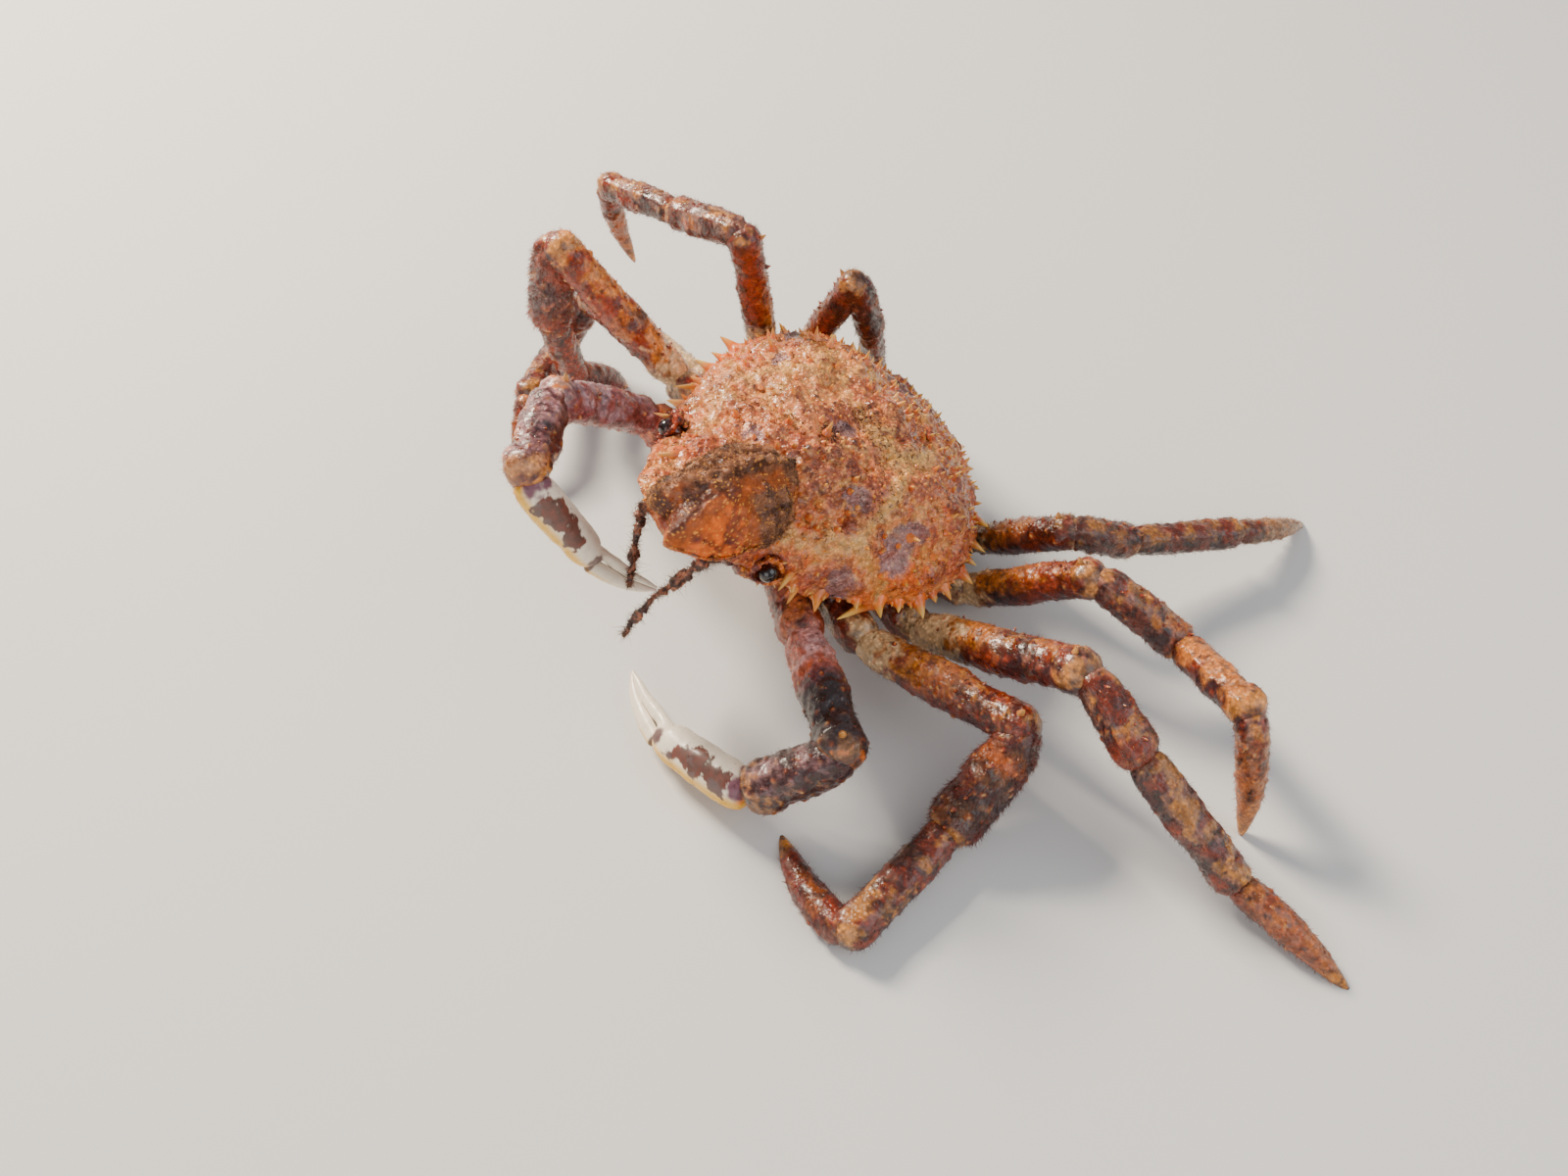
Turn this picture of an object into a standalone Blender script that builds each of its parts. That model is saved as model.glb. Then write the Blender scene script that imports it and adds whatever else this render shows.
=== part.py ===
"""A giant spider crab as a still, life-size model that stands on a flat floor.

Units are metres with +Z up. The crab faces -Y and its left side is at +X. The body is laid out in
a frame of its own (x to the crab's left, y to its rear, z up through its back), which is pitched
nose up and rolled down to the left. Each leg is a chain of articles that starts at a hip in the
body's frame; every article then has a compass turn and a rise above the horizontal.
"""
import math
import random

import bmesh
import bpy
from mathutils import Matrix, Vector, noise

MM = 0.001
# Clearance between pieces that touch, and the distance within which points are merged
GAP = 0.3 * MM
MERGE = 0.01 * MM

# Stance of the body
BODY_ORIGIN = Vector((-21, -14, 33)) * MM
BODY_PITCH = math.radians(15)
BODY_ROLL = math.radians(19)

# Carapace outline without its spines: place along the body, half width
FRONT_Y = -50.0
REAR_Y = 41.0
HALF_WIDTH = ((-50, 0), (-48, 5.5), (-44, 9), (-38, 13), (-31, 16.5), (-25, 20), (-20, 24), (-8, 30.5),
              (2, 34), (14, 33.5), (22, 29.6), (29, 23.8), (34, 17.7), (38, 11), (40, 6), (41, 0))
MARGIN_HEIGHT = ((-50, 8.5), (-40, 6), (-31, 1.5), (-22, -3.5), (-8, -4.5), (2, -5.5), (41, -6))
CREST_HEIGHT = ((-50, 10.5), (-40, 10), (-30, 9.5), (-22, 10), (-12, 12.5), (0, 12.5), (12, 11.5),
                (20, 7.5), (28, 3), (35, -1.5), (41, -6))
UNDER_HEIGHT = ((-50, 5), (-44, 2), (-32, -10), (-28, -12), (41, -12))
DOME_FLATNESS = 2.3
DOME_EDGE = 0.62
SHELL_CENTRE = Vector((0, -2, 0))
UNDER_INSET = 0.24
SHELL_SEGMENTS = 54
SHELL_RINGS = 20
FLAT_ANGLE = math.radians(0.3)

# Swellings and grooves of the back: x, y, radius, rise; the ones off the midline are on both sides
REGIONS = ((0, -14, 8, 1.6), (0, 9, 6, 1.8), (0, 25, 6, 1.0), (18, 5, 10, 2.0), (24, -17, 4.5, 1.6),
           (9, 3, 3.5, -1.6), (8, 15, 3.5, -1.4), (15, -13, 4.5, -1.7),
           (0, 1, 3.2, -0.9), (0, 18, 3, -0.8), (27, -8, 4, -0.9), (11, -27, 5, -1.0))

# Spines round the margin: y, length
MARGIN_SPINES = ((-24.5, 3.2), (-20, 5.2), (-12.5, 3), (-8, 5), (-3.5, 3.2), (1.5, 6), (6, 2.6), (10, 3.6),
                 (16.5, 5.2), (20.5, 3), (24.5, 4), (29.5, 5), (32.5, 2.6), (35, 3), (37.5, 2.4), (39.8, 2.4))
# Spines on the back: x, y, length; the ones off the midline are on both sides
BACK_SPINES = ((0, -17, 2.6), (0, -8.5, 3.2), (0, 4, 2.2), (0, 11.5, 3.2), (0, 17.5, 3), (0, 26, 2.8),
               (4.5, -19.5, 2.4), (10.5, -8.5, 3), (12.5, -20, 2.4), (24.5, -1, 3.4), (22, -11.5, 2.8),
               (14, 1, 2.2), (24, 11, 3), (15, 11, 2.4), (16, 20.5, 2.8), (7.5, 30, 2.6), (23, 20, 2.6),
               (17, 29, 2.6), (0, 33.5, 2.6), (29, 4.5, 2.4), (24.5, -19, 2.6), (11.5, 34, 2.2))
SPINE_SLENDERNESS = 3.2
SPINE_SINK = 1.4
SPINE_SIDES = 5

# Rostral horns, the spines round the orbits, and the leaf-like spine under the front of the margin:
# root, tip, root radius
FRONT_SPINES = (((2.4, -44, 8), (1.6, -52, 11), 1.7), ((9, -36, 6.5), (10.4, -43.5, 8.6), 1.9),
                ((18, -24, 0), (20.8, -30, 2.6), 1.7), ((19.5, -22, -3), (23.4, -27.5, -1.6), 1.5),
                ((28.5, -6.5, -8), (29.5, -16, -6.5), 2.0))

# Eyes
EYE_CENTRE = Vector((17.2, -31, 2.4))
EYE_RADIUS = 2.0
EYE_STALK_ROOT = Vector((12.2, -27.5, 1.2))
ORBIT_RADIUS = 3.5

# Trunk under the shell: place along the body, half width at the top
TRUNK_TOP = -12.0 - 0.3
TRUNK_BOTTOM = -19.0
TRUNK_WIDTH = ((-27, 0), (-26, 9), (-18, 16), (-6, 20), (6, 21), (16, 19.5), (24, 16), (29, 9), (30, 0))

# Growth that covers the rostrum
GROWTH_CENTRE = Vector((5.2, -36.5, 12.6))
GROWTH_RADII = Vector((10.5, 15, 6))

# Legs: hip and end of the hip article in the body's frame, one row for each pair
HIP_ROOT = {1: (14, -17, -14), 2: (16, -8, -15.5), 3: (17, 2, -15.5), 4: (16, 12, -15.5), 5: (13, 20, -15)}
HIP_END = {
    "left": {1: (28, -22, -12), 2: (34, -9.5, -13), 3: (37, 4, -13), 4: (35, 21.5, -12.5), 5: (26, 33, -12)},
    "right": {1: (28, -22, -12), 2: (34.5, -9.5, -12.5), 3: (37, -2, -17.5), 4: (37, 16, -12.5),
              5: (32, 24, -11.5)},
}
# Lengths and radii of the four articles beyond the hip
LENGTHS = {1: (29.5, 20, 24, 17.5), 2: (39, 23, 29, 24.5), 3: (44, 17, 30, 26), 4: (33, 22.5, 25, 28.5),
           5: (28, 17, 27, 27.5)}
RADII = {1: (4.6, 4.6, 5.2, 2.1), 2: (4.3, 5.2, 3.9, 3.5), 3: (4.3, 4.1, 3.7, 3.1), 4: (3.9, 3.8, 3.5, 3.0),
         5: (3.6, 3.6, 3.2, 2.7)}
HIP_RADIUS = {1: 4.4, 2: 4.2, 3: 4.2, 4: 3.9, 5: 3.5}
# The limbs of the right side are a little slimmer in the photo
SLIMNESS = {"left": 1.0, "right": 0.86}
FOOT = None
# Turn and rise of each article in degrees; FOOT is the rise that sets the tip on the floor
POSE = {
    ("left", 1): ((-27, 6), (-129, -35), (-169, -10), (164, -4)),
    ("left", 2): ((8, 10), (-89, -39), (-86, -3), (168, FOOT)),
    ("left", 3): ((5, 31), (-6, -26), (8, -36), (5, FOOT)),
    ("left", 4): ((18, 40), (25, -30), (-26, 24), (-27, FOOT)),
    ("left", 5): ((8, 42), (65, -29), (64, -11), (78, FOOT)),
    ("right", 1): ((-88, 42), (-47, 1), (45, -67), (64, -51)),
    ("right", 2): ((-146, 52), (-172, -74), (141, -66), (105, FOOT)),
    ("right", 3): ((178, -6), (-150, -60), (-51, 13), (-45, FOOT)),
    ("right", 4): ((-86, 81), (-177, -15), (-177, -11), (119, -73)),
    ("right", 5): ((18, 63), (90, -72), (125, -62), (-10, FOOT)),
}
FOOT_HEIGHT = -0.5
# How far a dactyl bows, as a share of its length, and how far down the bow may face
DACTYL_BOW = 0.06
BEND_LIMIT = 0.2
# Direction from the movable finger to the fixed one
CLAW_FACING = {"left": Vector((-0.17, 0.84, 0.52)), "right": Vector((0.0, 0.89, 0.46))}
PALM_THICKNESS = 0.84
# Along the hand or a finger as a share of its length, sideways towards the fixed finger in radii of the
# hand, and the radius there in the same unit
PALM_STATIONS = ((0.03, 0, 0.62), (0.15, 0, 0.8), (0.42, 0, 0.85), (0.7, 0, 0.8), (0.93, 0, 0.7))
FIXED_FINGER_STATIONS = ((0.08, 0.25, 0.3), (0.3, 0.17, 0.24), (0.55, 0.04, 0.2), (0.8, 0.04, 0.13),
                         (0.97, 0.01, 0.07))
MOVABLE_FINGER_STATIONS = ((-0.05, -0.34, 0.34), (0.06, -0.38, 0.36), (0.25, -0.4, 0.35), (0.5, -0.4, 0.29),
                           (0.78, -0.27, 0.19), (0.98, -0.06, 0.08))
# How far the wrist end of the hand sits towards the fixed finger
PALM_SHIFT = {"left": -0.26, "right": -0.1}
# Along a dactyl as a share of its length, and its radius there as a share of its own
DACTYL_STATIONS = ((0.03, 0.85), (0.14, 1.0), (0.4, 0.95), (0.65, 0.75), (0.86, 0.45), (1, 0.12))
ARTICLES = ("merus", "carpus", "propodus", "dactyl")
CLAW_ARTICLES = ("merus", "carpus", "palm", "finger")

# Routes of the two feelers in the world's frame
FEELERS = {
    "left": ((-5, -52, 49), (-8, -55, 46), (-12, -60, 40), (-15, -63, 35), (-17, -67, 29), (-18, -69, 25)),
    "right": ((-20, -56, 54), (-21, -59, 51), (-20, -62, 47), (-19, -63.5, 44), (-18, -65, 41), (-18, -66, 38)),
}
FEELER_RADIUS = 1.0

SHELL_COLOUR = (0.50, 0.25, 0.17, 1)
LEG_COLOUR = (0.32, 0.12, 0.07, 1)
CLAW_COLOUR = (0.85, 0.78, 0.66, 1)
GROWTH_COLOUR = (0.30, 0.17, 0.07, 1)
EYE_COLOUR = (0.03, 0.02, 0.015, 1)
FEELER_COLOUR = (0.08, 0.05, 0.04, 1)


def body_matrix():
    tilt = Matrix.Rotation(-BODY_PITCH, 4, "X") @ Matrix.Rotation(BODY_ROLL, 4, "Y")
    return Matrix.Translation(BODY_ORIGIN) @ tilt


BODY = body_matrix()


def in_world(point):
    """A point of the body's frame in millimetres, as a place in the world in metres."""
    return BODY @ (Vector(point) * MM)


def mirrored(point, side):
    return Vector((point[0] * (1 if side == "left" else -1), point[1], point[2]))


def along(stations, place):
    """Smooth curve through (place, value) stations, with flat ends."""
    last = len(stations) - 1
    place = min(max(place, stations[0][0]), stations[last][0])
    i = 0
    while i < last - 1 and place > stations[i + 1][0]:
        i += 1
    (x0, v0), (x1, v1) = stations[i], stations[i + 1]
    slope = (v1 - v0) / (x1 - x0)
    before = (v0 - stations[i - 1][1]) / (x0 - stations[i - 1][0]) if i > 0 else slope
    after = (stations[i + 2][1] - v1) / (stations[i + 2][0] - x1) if i + 2 <= last else slope
    start = 0.5 * (before + slope) if before * slope > 0 else 0
    end = 0.5 * (after + slope) if after * slope > 0 else 0
    t = (place - x0) / (x1 - x0)
    span = x1 - x0
    return (v0 * (1 + 2 * t) * (1 - t) ** 2 + v1 * t * t * (3 - 2 * t)
            + span * start * t * (1 - t) ** 2 - span * end * t * t * (1 - t))


def smooth(t):
    t = min(max(t, 0), 1)
    return t * t * (3 - 2 * t)


def dome_height(x, y):
    """Height of the back above the body's frame, in millimetres."""
    width = max(along(HALF_WIDTH, y), 0.01)
    margin = along(MARGIN_HEIGHT, y)
    across = min(abs(x) / width, 1)
    arch = (1 - across ** DOME_FLATNESS) ** DOME_EDGE
    relief = 0
    for cx, cy, radius, rise in REGIONS:
        for side in ((1, -1) if cx else (1,)):
            square = ((x - side * cx) ** 2 + (y - cy) ** 2) / radius ** 2
            relief += rise * math.exp(-square)
    return margin + (along(CREST_HEIGHT, y) - margin + relief) * arch


def new_object(name, mesh):
    thing = bpy.data.objects.new(name, mesh)
    bpy.context.scene.collection.objects.link(thing)
    return thing


def from_bmesh(name, shape):
    bmesh.ops.recalc_face_normals(shape, faces=shape.faces)
    mesh = bpy.data.meshes.new(name)
    shape.to_mesh(mesh)
    shape.free()
    return new_object(name, mesh)


def ball(name, segments, rings, place_vertex):
    """A sphere whose vertices are moved by place_vertex, which takes and gives a unit vector or place."""
    shape = bmesh.new()
    bmesh.ops.create_uvsphere(shape, u_segments=segments, v_segments=rings, radius=1)
    for vertex in shape.verts:
        vertex.co = place_vertex(vertex.co.copy())
    bmesh.ops.dissolve_limit(shape, angle_limit=FLAT_ANGLE, verts=shape.verts, edges=shape.edges)
    bmesh.ops.triangulate(shape, faces=shape.faces)
    return from_bmesh(name, shape)


def cone(root, tip, radius, sides, blunt=0.0):
    """A closed tapered spike between two places in the world."""
    axis = tip - root
    turn = axis.to_track_quat("Z", "Y").to_matrix().to_4x4()
    shape = bmesh.new()
    bmesh.ops.create_cone(shape, cap_ends=True, segments=sides, radius1=radius, radius2=radius * blunt,
                          depth=axis.length, matrix=Matrix.Translation((root + tip) / 2) @ turn)
    return from_bmesh("spike", shape)


def tube(name, route, radii, resolution=2):
    """A closed tube of changing radius along a route in the world."""
    curve = bpy.data.curves.new(name, "CURVE")
    curve.dimensions = "3D"
    curve.bevel_depth = MM
    curve.bevel_resolution = resolution
    curve.use_fill_caps = True
    curve.twist_mode = "MINIMUM"
    spline = curve.splines.new("POLY")
    spline.points.add(len(route) - 1)
    for point, place, radius in zip(spline.points, route, radii):
        point.co = (*place, 1)
        point.radius = radius
    guide = new_object(name + "_guide", curve)
    evaluated = guide.evaluated_get(bpy.context.evaluated_depsgraph_get())
    mesh = bpy.data.meshes.new_from_object(evaluated)
    matrix = guide.matrix_world.copy()
    bpy.data.objects.remove(guide)
    bpy.data.curves.remove(curve)
    shape = bmesh.new()
    shape.from_mesh(mesh)
    bpy.data.meshes.remove(mesh)
    bmesh.ops.remove_doubles(shape, verts=shape.verts, dist=MERGE)
    thing = from_bmesh(name, shape)
    thing.matrix_world = matrix
    return thing


def keep_largest(thing):
    """Drops every closed surface of a mesh but the largest."""
    shape = bmesh.new()
    shape.from_mesh(thing.data)
    left = set(shape.verts)
    shells = []
    while left:
        stack = [left.pop()]
        shell = set(stack)
        while stack:
            for edge in stack.pop().link_edges:
                for vertex in edge.verts:
                    if vertex in left:
                        left.remove(vertex)
                        shell.add(vertex)
                        stack.append(vertex)
        shells.append(shell)
    shells.sort(key=extent, reverse=True)
    for shell in shells[1:]:
        bmesh.ops.delete(shape, geom=list(shell), context="VERTS")
    bmesh.ops.triangulate(shape, faces=shape.faces)
    shape.to_mesh(thing.data)
    shape.free()


def extent(shell):
    """Diagonal of the box round some vertices."""
    spans = [max(v.co[i] for v in shell) - min(v.co[i] for v in shell) for i in range(3)]
    return math.hypot(*spans)


def apply_boolean(thing, operation, others, solver="EXACT"):
    """Joins or cuts a mesh with other closed meshes, which are then removed."""
    pieces = bpy.data.collections.new("pieces")
    for other in others:
        pieces.objects.link(other)
    modifier = thing.modifiers.new("join", "BOOLEAN")
    modifier.operation = operation
    modifier.operand_type = "COLLECTION"
    modifier.collection = pieces
    modifier.solver = solver
    evaluated = thing.evaluated_get(bpy.context.evaluated_depsgraph_get())
    mesh = bpy.data.meshes.new_from_object(evaluated)
    thing.modifiers.clear()
    thing.data = mesh
    for other in others:
        bpy.data.objects.remove(other)
    bpy.data.collections.remove(pieces)
    keep_largest(thing)


def grown(thing, margin=GAP):
    """A copy whose faces all lie a little outside the first one's."""
    shape = bmesh.new()
    shape.from_mesh(thing.data)
    shape.transform(thing.matrix_world)
    shape.normal_update()
    moves = [(v, v.normal * min(v.calc_shell_factor(), 2.5) * margin) for v in shape.verts]
    for vertex, move in moves:
        vertex.co += move
    return from_bmesh("clearance", shape)


def seat(thing, *neighbours):
    """Cuts a piece so that it meets its neighbours face to face with the gap between them."""
    for neighbour in neighbours:
        apply_boolean(thing, "DIFFERENCE", [grown(neighbour)], "MANIFOLD")


def rest_on_floor(thing):
    """Cuts off what is below the floor and closes the cut with a flat."""
    shape = bmesh.new()
    shape.from_mesh(thing.data)
    if min(v.co.z for v in shape.verts) < 0:
        geometry = shape.verts[:] + shape.edges[:] + shape.faces[:]
        cut = bmesh.ops.bisect_plane(shape, geom=geometry, dist=MERGE, plane_co=(0, 0, 0), plane_no=(0, 0, 1),
                                     clear_inner=True)
        rim = [item for item in cut["geom_cut"] if isinstance(item, bmesh.types.BMEdge)]
        bmesh.ops.contextual_create(shape, geom=rim)
        bmesh.ops.recalc_face_normals(shape, faces=shape.faces)
        bmesh.ops.triangulate(shape, faces=shape.faces)
        shape.to_mesh(thing.data)
    shape.free()


def finish(thing, name, colour, roughness):
    """Names a piece, gives it a material of its own, and puts it in the crab's collection."""
    thing.name = name
    thing.data.name = name
    paint = bpy.data.materials.new(name)
    paint.use_nodes = True
    shader = paint.node_tree.nodes["Principled BSDF"]
    shader.inputs["Base Color"].default_value = colour
    shader.inputs["Roughness"].default_value = roughness
    shader.inputs["Metallic"].default_value = 0
    thing.data.materials.clear()
    thing.data.materials.append(paint)
    thing.data.shade_smooth()
    thing.data.set_sharp_from_angle(angle=math.radians(50))
    bpy.context.scene.collection.objects.unlink(thing)
    bpy.data.collections["giant_spider_crab"].objects.link(thing)
    return thing


def shell_vertex(unit):
    """Moves a vertex of a unit sphere onto the carapace."""
    flat = math.hypot(unit.x, unit.y)
    sine = unit.y / flat if flat > 1e-6 else 0
    cosine = unit.x / flat if flat > 1e-6 else 0
    edge_y = (FRONT_Y + REAR_Y) / 2 + sine * (REAR_Y - FRONT_Y) / 2
    edge_x = math.copysign(along(HALF_WIDTH, edge_y), cosine) if abs(cosine) > 1e-4 else 0
    edge = Vector((edge_x, edge_y, 0))
    level = math.asin(min(max(unit.z, -1), 1)) / (math.pi / 2)
    if level >= -1e-6:
        place = SHELL_CENTRE + flat * (edge - SHELL_CENTRE)
        place.z = dome_height(place.x, place.y)
        return in_world(place)
    wall = min(-level / 0.25, 1)
    inset = 1 - UNDER_INSET * wall if wall < 1 else (1 - UNDER_INSET) * (1 + level) / 0.75
    place = SHELL_CENTRE + inset * (edge - SHELL_CENTRE)
    margin = along(MARGIN_HEIGHT, edge_y)
    under = along(UNDER_HEIGHT, place.y)
    place.z = margin + (under - margin) * smooth(wall)
    return in_world(place)


def margin_spines(rng):
    spikes = []
    for y, length in MARGIN_SPINES:
        for side in (1, -1):
            length_here = length * rng.uniform(0.9, 1.1)
            width = along(HALF_WIDTH, y)
            slope = (along(HALF_WIDTH, y + 1) - along(HALF_WIDTH, y - 1)) / 2
            outward = Vector((side, -slope - 0.12, 0.12)).normalized()
            root = Vector((side * width, y, along(MARGIN_HEIGHT, y) + 0.3))
            tip = root + outward * length_here
            radius = length_here / SPINE_SLENDERNESS + 0.1
            spikes.append(cone(in_world(root - outward * SPINE_SINK), in_world(tip), radius * MM, SPINE_SIDES))
    return spikes


def back_spines(rng):
    spikes = []
    for x, y, length in BACK_SPINES:
        for side in ((1, -1) if x else (1,)):
            here_x = side * x + rng.uniform(-0.5, 0.5)
            here_y = y + rng.uniform(-0.5, 0.5)
            length_here = length * rng.uniform(0.85, 1.15)
            root = Vector((here_x, here_y, dome_height(here_x, here_y)))
            lean_x = dome_height(here_x - 1, here_y) - dome_height(here_x + 1, here_y)
            lean_y = dome_height(here_x, here_y - 1) - dome_height(here_x, here_y + 1)
            outward = Vector((lean_x / 2, lean_y / 2 - 0.2, 1)).normalized()
            tip = root + outward * length_here
            radius = length_here / SPINE_SLENDERNESS
            spikes.append(cone(in_world(root - outward * SPINE_SINK), in_world(tip), radius * MM, SPINE_SIDES))
    return spikes


def front_spines():
    spikes = []
    for root, tip, radius in FRONT_SPINES:
        for side in ("left", "right"):
            spikes.append(cone(in_world(mirrored(root, side)), in_world(mirrored(tip, side)), radius * MM, 6))
    return spikes


def make_carapace():
    rng = random.Random(11)
    shell = ball("shell", SHELL_SEGMENTS, SHELL_RINGS, shell_vertex)
    apply_boolean(shell, "UNION", margin_spines(rng) + back_spines(rng) + front_spines(), "MANIFOLD")
    cups = []
    for side in ("left", "right"):
        centre = in_world(mirrored(EYE_CENTRE, side))
        cups.append(ball("cup", 12, 7, lambda unit, c=centre: c + unit * ORBIT_RADIUS * MM))
    apply_boolean(shell, "DIFFERENCE", cups)
    return finish(shell, "carapace", SHELL_COLOUR, 0.5)


def make_eye(side, carapace):
    centre = in_world(mirrored(EYE_CENTRE, side))
    root = in_world(mirrored(EYE_STALK_ROOT, side))
    eye = ball("eye", 12, 8, lambda unit: centre + unit * EYE_RADIUS * MM)
    apply_boolean(eye, "UNION", [cone(root, centre, 1.2 * MM, 8, 1.1)])
    seat(eye, carapace)
    return finish(eye, "eye_" + side, EYE_COLOUR, 0.1)


def trunk_vertex(unit):
    """Moves a vertex of a unit sphere onto the trunk, whose top is flat and whose sides slope in."""
    flat = math.hypot(unit.x, unit.y)
    sine = unit.y / flat if flat > 1e-6 else 0
    cosine = unit.x / flat if flat > 1e-6 else 0
    front, rear = TRUNK_WIDTH[0][0], TRUNK_WIDTH[-1][0]
    edge_y = (front + rear) / 2 + sine * (rear - front) / 2
    edge = Vector((math.copysign(along(TRUNK_WIDTH, edge_y), cosine) if abs(cosine) > 1e-4 else 0, edge_y, 0))
    centre = Vector((0, 2, 0))
    if unit.z > -1e-6:
        place = centre + min(flat / 0.9, 1) * (edge - centre)
        place.z = TRUNK_TOP - 1.2 * smooth((flat - 0.85) / 0.15)
        return in_world(place)
    place = centre + (0.25 * flat + 0.75 * min(flat / 0.75, 1)) * (edge - centre)
    place.z = TRUNK_TOP - 1.2 + (TRUNK_BOTTOM - TRUNK_TOP + 1.2) * smooth(-unit.z / 0.6)
    return in_world(place)


def make_trunk():
    return finish(ball("trunk", 28, 10, trunk_vertex), "thorax", SHELL_COLOUR, 0.5)


def make_abdomen(thorax):
    """The tail flap, folded flat under the trunk."""
    centre = Vector((0, 14, TRUNK_BOTTOM - 0.4))

    def place_vertex(unit):
        ridge = 0.25 * math.cos(unit.y * 14)
        return in_world(centre + Vector((unit.x * 12.5, unit.y * 17, unit.z * (2.2 + ridge))))

    flap = ball("flap", 20, 8, place_vertex)
    seat(flap, thorax)
    return finish(flap, "abdomen", SHELL_COLOUR, 0.5)


def make_mouthparts(carapace, thorax):
    """The outer maxillipeds, which close the mouth like a pair of doors."""
    centre = Vector((0, -27, -12))

    def place_vertex(unit):
        crease = 0.75 + 0.25 * smooth(abs(unit.x) / 0.25)
        return in_world(centre + Vector((unit.x * 7, unit.y * 5 * crease, unit.z * 4.5)))

    doors = ball("doors", 18, 9, place_vertex)
    seat(doors, carapace, thorax)
    return finish(doors, "maxillipeds", LEG_COLOUR, 0.5)


def make_growth(carapace):
    """The sponge that grows over the rostrum, a lumpy mass in two lobes."""
    def place_vertex(unit):
        bump = 1 + 0.16 * noise.noise(unit * 1.7) + 0.07 * noise.noise(unit * 4.3)
        notch = 1 - 0.18 * math.exp(-((unit.x - 0.1) / 0.3) ** 2) * smooth(unit.y + 0.6)
        place = unit * GROWTH_RADII * bump
        place.z *= notch
        return in_world(GROWTH_CENTRE + place)

    growth = ball("growth", 22, 12, place_vertex)
    seat(growth, carapace)
    return finish(growth, "rostrum_sponge", GROWTH_COLOUR, 0.7)


def make_feeler(side, *neighbours):
    route = [Vector(point) * MM for point in FEELERS[side]]
    last = len(route) - 1
    radii = [FEELER_RADIUS * (1 - 0.45 * i / last) * (1.15 if i % 2 else 0.95) for i in range(last + 1)]
    feeler = tube("feeler", route, radii)
    seat(feeler, *neighbours)
    return finish(feeler, "antenna_" + side, FEELER_COLOUR, 0.7)


def heading(turn, rise):
    turn = math.radians(turn)
    rise = math.radians(rise)
    return Vector((math.cos(turn) * math.cos(rise), math.sin(turn) * math.cos(rise), math.sin(rise)))


def limb_joints(side, pair):
    """Places of the joints of one limb, from the end of the hip to the tip."""
    joints = [in_world(mirrored(HIP_END[side][pair], side))]
    for (turn, rise), length in zip(POSE[(side, pair)], LENGTHS[pair]):
        if rise is FOOT:
            fall = (FOOT_HEIGHT * MM - joints[-1].z) / (length * MM)
            rise = math.degrees(math.asin(max(fall, -1)))
        joints.append(joints[-1] + heading(turn, rise) * length * MM)
    return joints


def raised(direction):
    """The way square to a direction that points most upwards."""
    up_way = Vector((0, 0, 1)) - direction * direction.z
    return up_way.normalized() if up_way.length > 0.2 else direction.orthogonal().normalized()


def article(start, end, radius, rng, swell=0.0):
    """One leg article: a lumpy tube whose far end is a rounded knob for the next one's socket."""
    axis = end - start
    length = axis.length / MM
    along_axis = axis.normalized()
    up_way = raised(along_axis)
    cross_way = along_axis.cross(up_way)
    rings = [(0.15 * radius, 0.80), (0.7 * radius, 0.99)]
    if length > 4 * radius:
        rings += [(0.34 * length, 1.0 + swell), (0.6 * length, 0.96)]
    rings += [(0.84 * length, 1.03), (length, 0.97), (length + 0.45 * radius, 0.7)]
    route = []
    radii = []
    for place, factor in rings:
        t = place / length
        inner = 0.1 < t < 0.9
        wander = 0.07 * radius if inner else 0
        centre = start + along_axis * place * MM
        centre += up_way * rng.uniform(-wander, wander) * MM
        centre += cross_way * rng.uniform(-wander, wander) * MM
        route.append(centre)
        radii.append(radius * factor * (rng.uniform(0.94, 1.08) if inner else 1))
    return tube("article", route, radii)


def pointed_article(start, end, radius, bow, bend_way):
    """The last article of a walking leg, which curves and tapers to its claw."""
    axis = end - start
    length = axis.length / MM
    route = []
    radii = []
    for t, factor in DACTYL_STATIONS:
        centre = start + axis * t + bend_way * bow * length * math.sin(math.pi * t) * MM
        route.append(centre)
        radii.append(radius * factor)
    return tube("dactyl", route, radii)


def terminal_spine(joint, direction, radius):
    """The spine over the far end of a merus."""
    up_way = raised(direction)
    root = joint - direction * 0.7 * radius * MM + up_way * 0.35 * radius * MM
    tip = joint + (direction * 0.35 + up_way * 1.5) * radius * MM
    return cone(root, tip, 0.38 * radius * MM, SPINE_SIDES)


def flatten(thing, centre, direction, factor):
    """Squeezes a piece about a place along a direction."""
    for vertex in thing.data.vertices:
        depth = (vertex.co - centre).dot(direction)
        vertex.co -= direction * depth * (1 - factor)


def claw_directions(side, joints):
    """Ways along the hand and along its fingers, and the way to the fixed finger square to each."""
    along_hand = (joints[3] - joints[2]).normalized()
    reach = (joints[4] - joints[3]).normalized()
    facing = CLAW_FACING[side]
    across_hand = (facing - along_hand * facing.dot(along_hand)).normalized()
    across_finger = (facing - reach * facing.dot(reach)).normalized()
    return along_hand, reach, across_hand, across_finger


def make_palm(side, joints, radius):
    """The hand and its fixed finger in one piece."""
    wrist, knuckle, tip = joints[2], joints[3], joints[4]
    along_hand, reach, across_hand, across_finger = claw_directions(side, joints)
    route = []
    radii = []
    for t, offset, factor in PALM_STATIONS:
        offset += PALM_SHIFT[side] * (1 - t * t)
        route.append(wrist.lerp(knuckle, t) + across_hand * offset * radius * MM)
        radii.append(radius * factor)
    for t, offset, factor in FIXED_FINGER_STATIONS:
        route.append(knuckle.lerp(tip, t) + across_finger * offset * radius * MM)
        radii.append(radius * factor)
    palm = tube("palm", route, radii, 3)
    flatten(palm, wrist, along_hand.cross(across_hand).normalized(), PALM_THICKNESS)
    return palm


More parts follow.
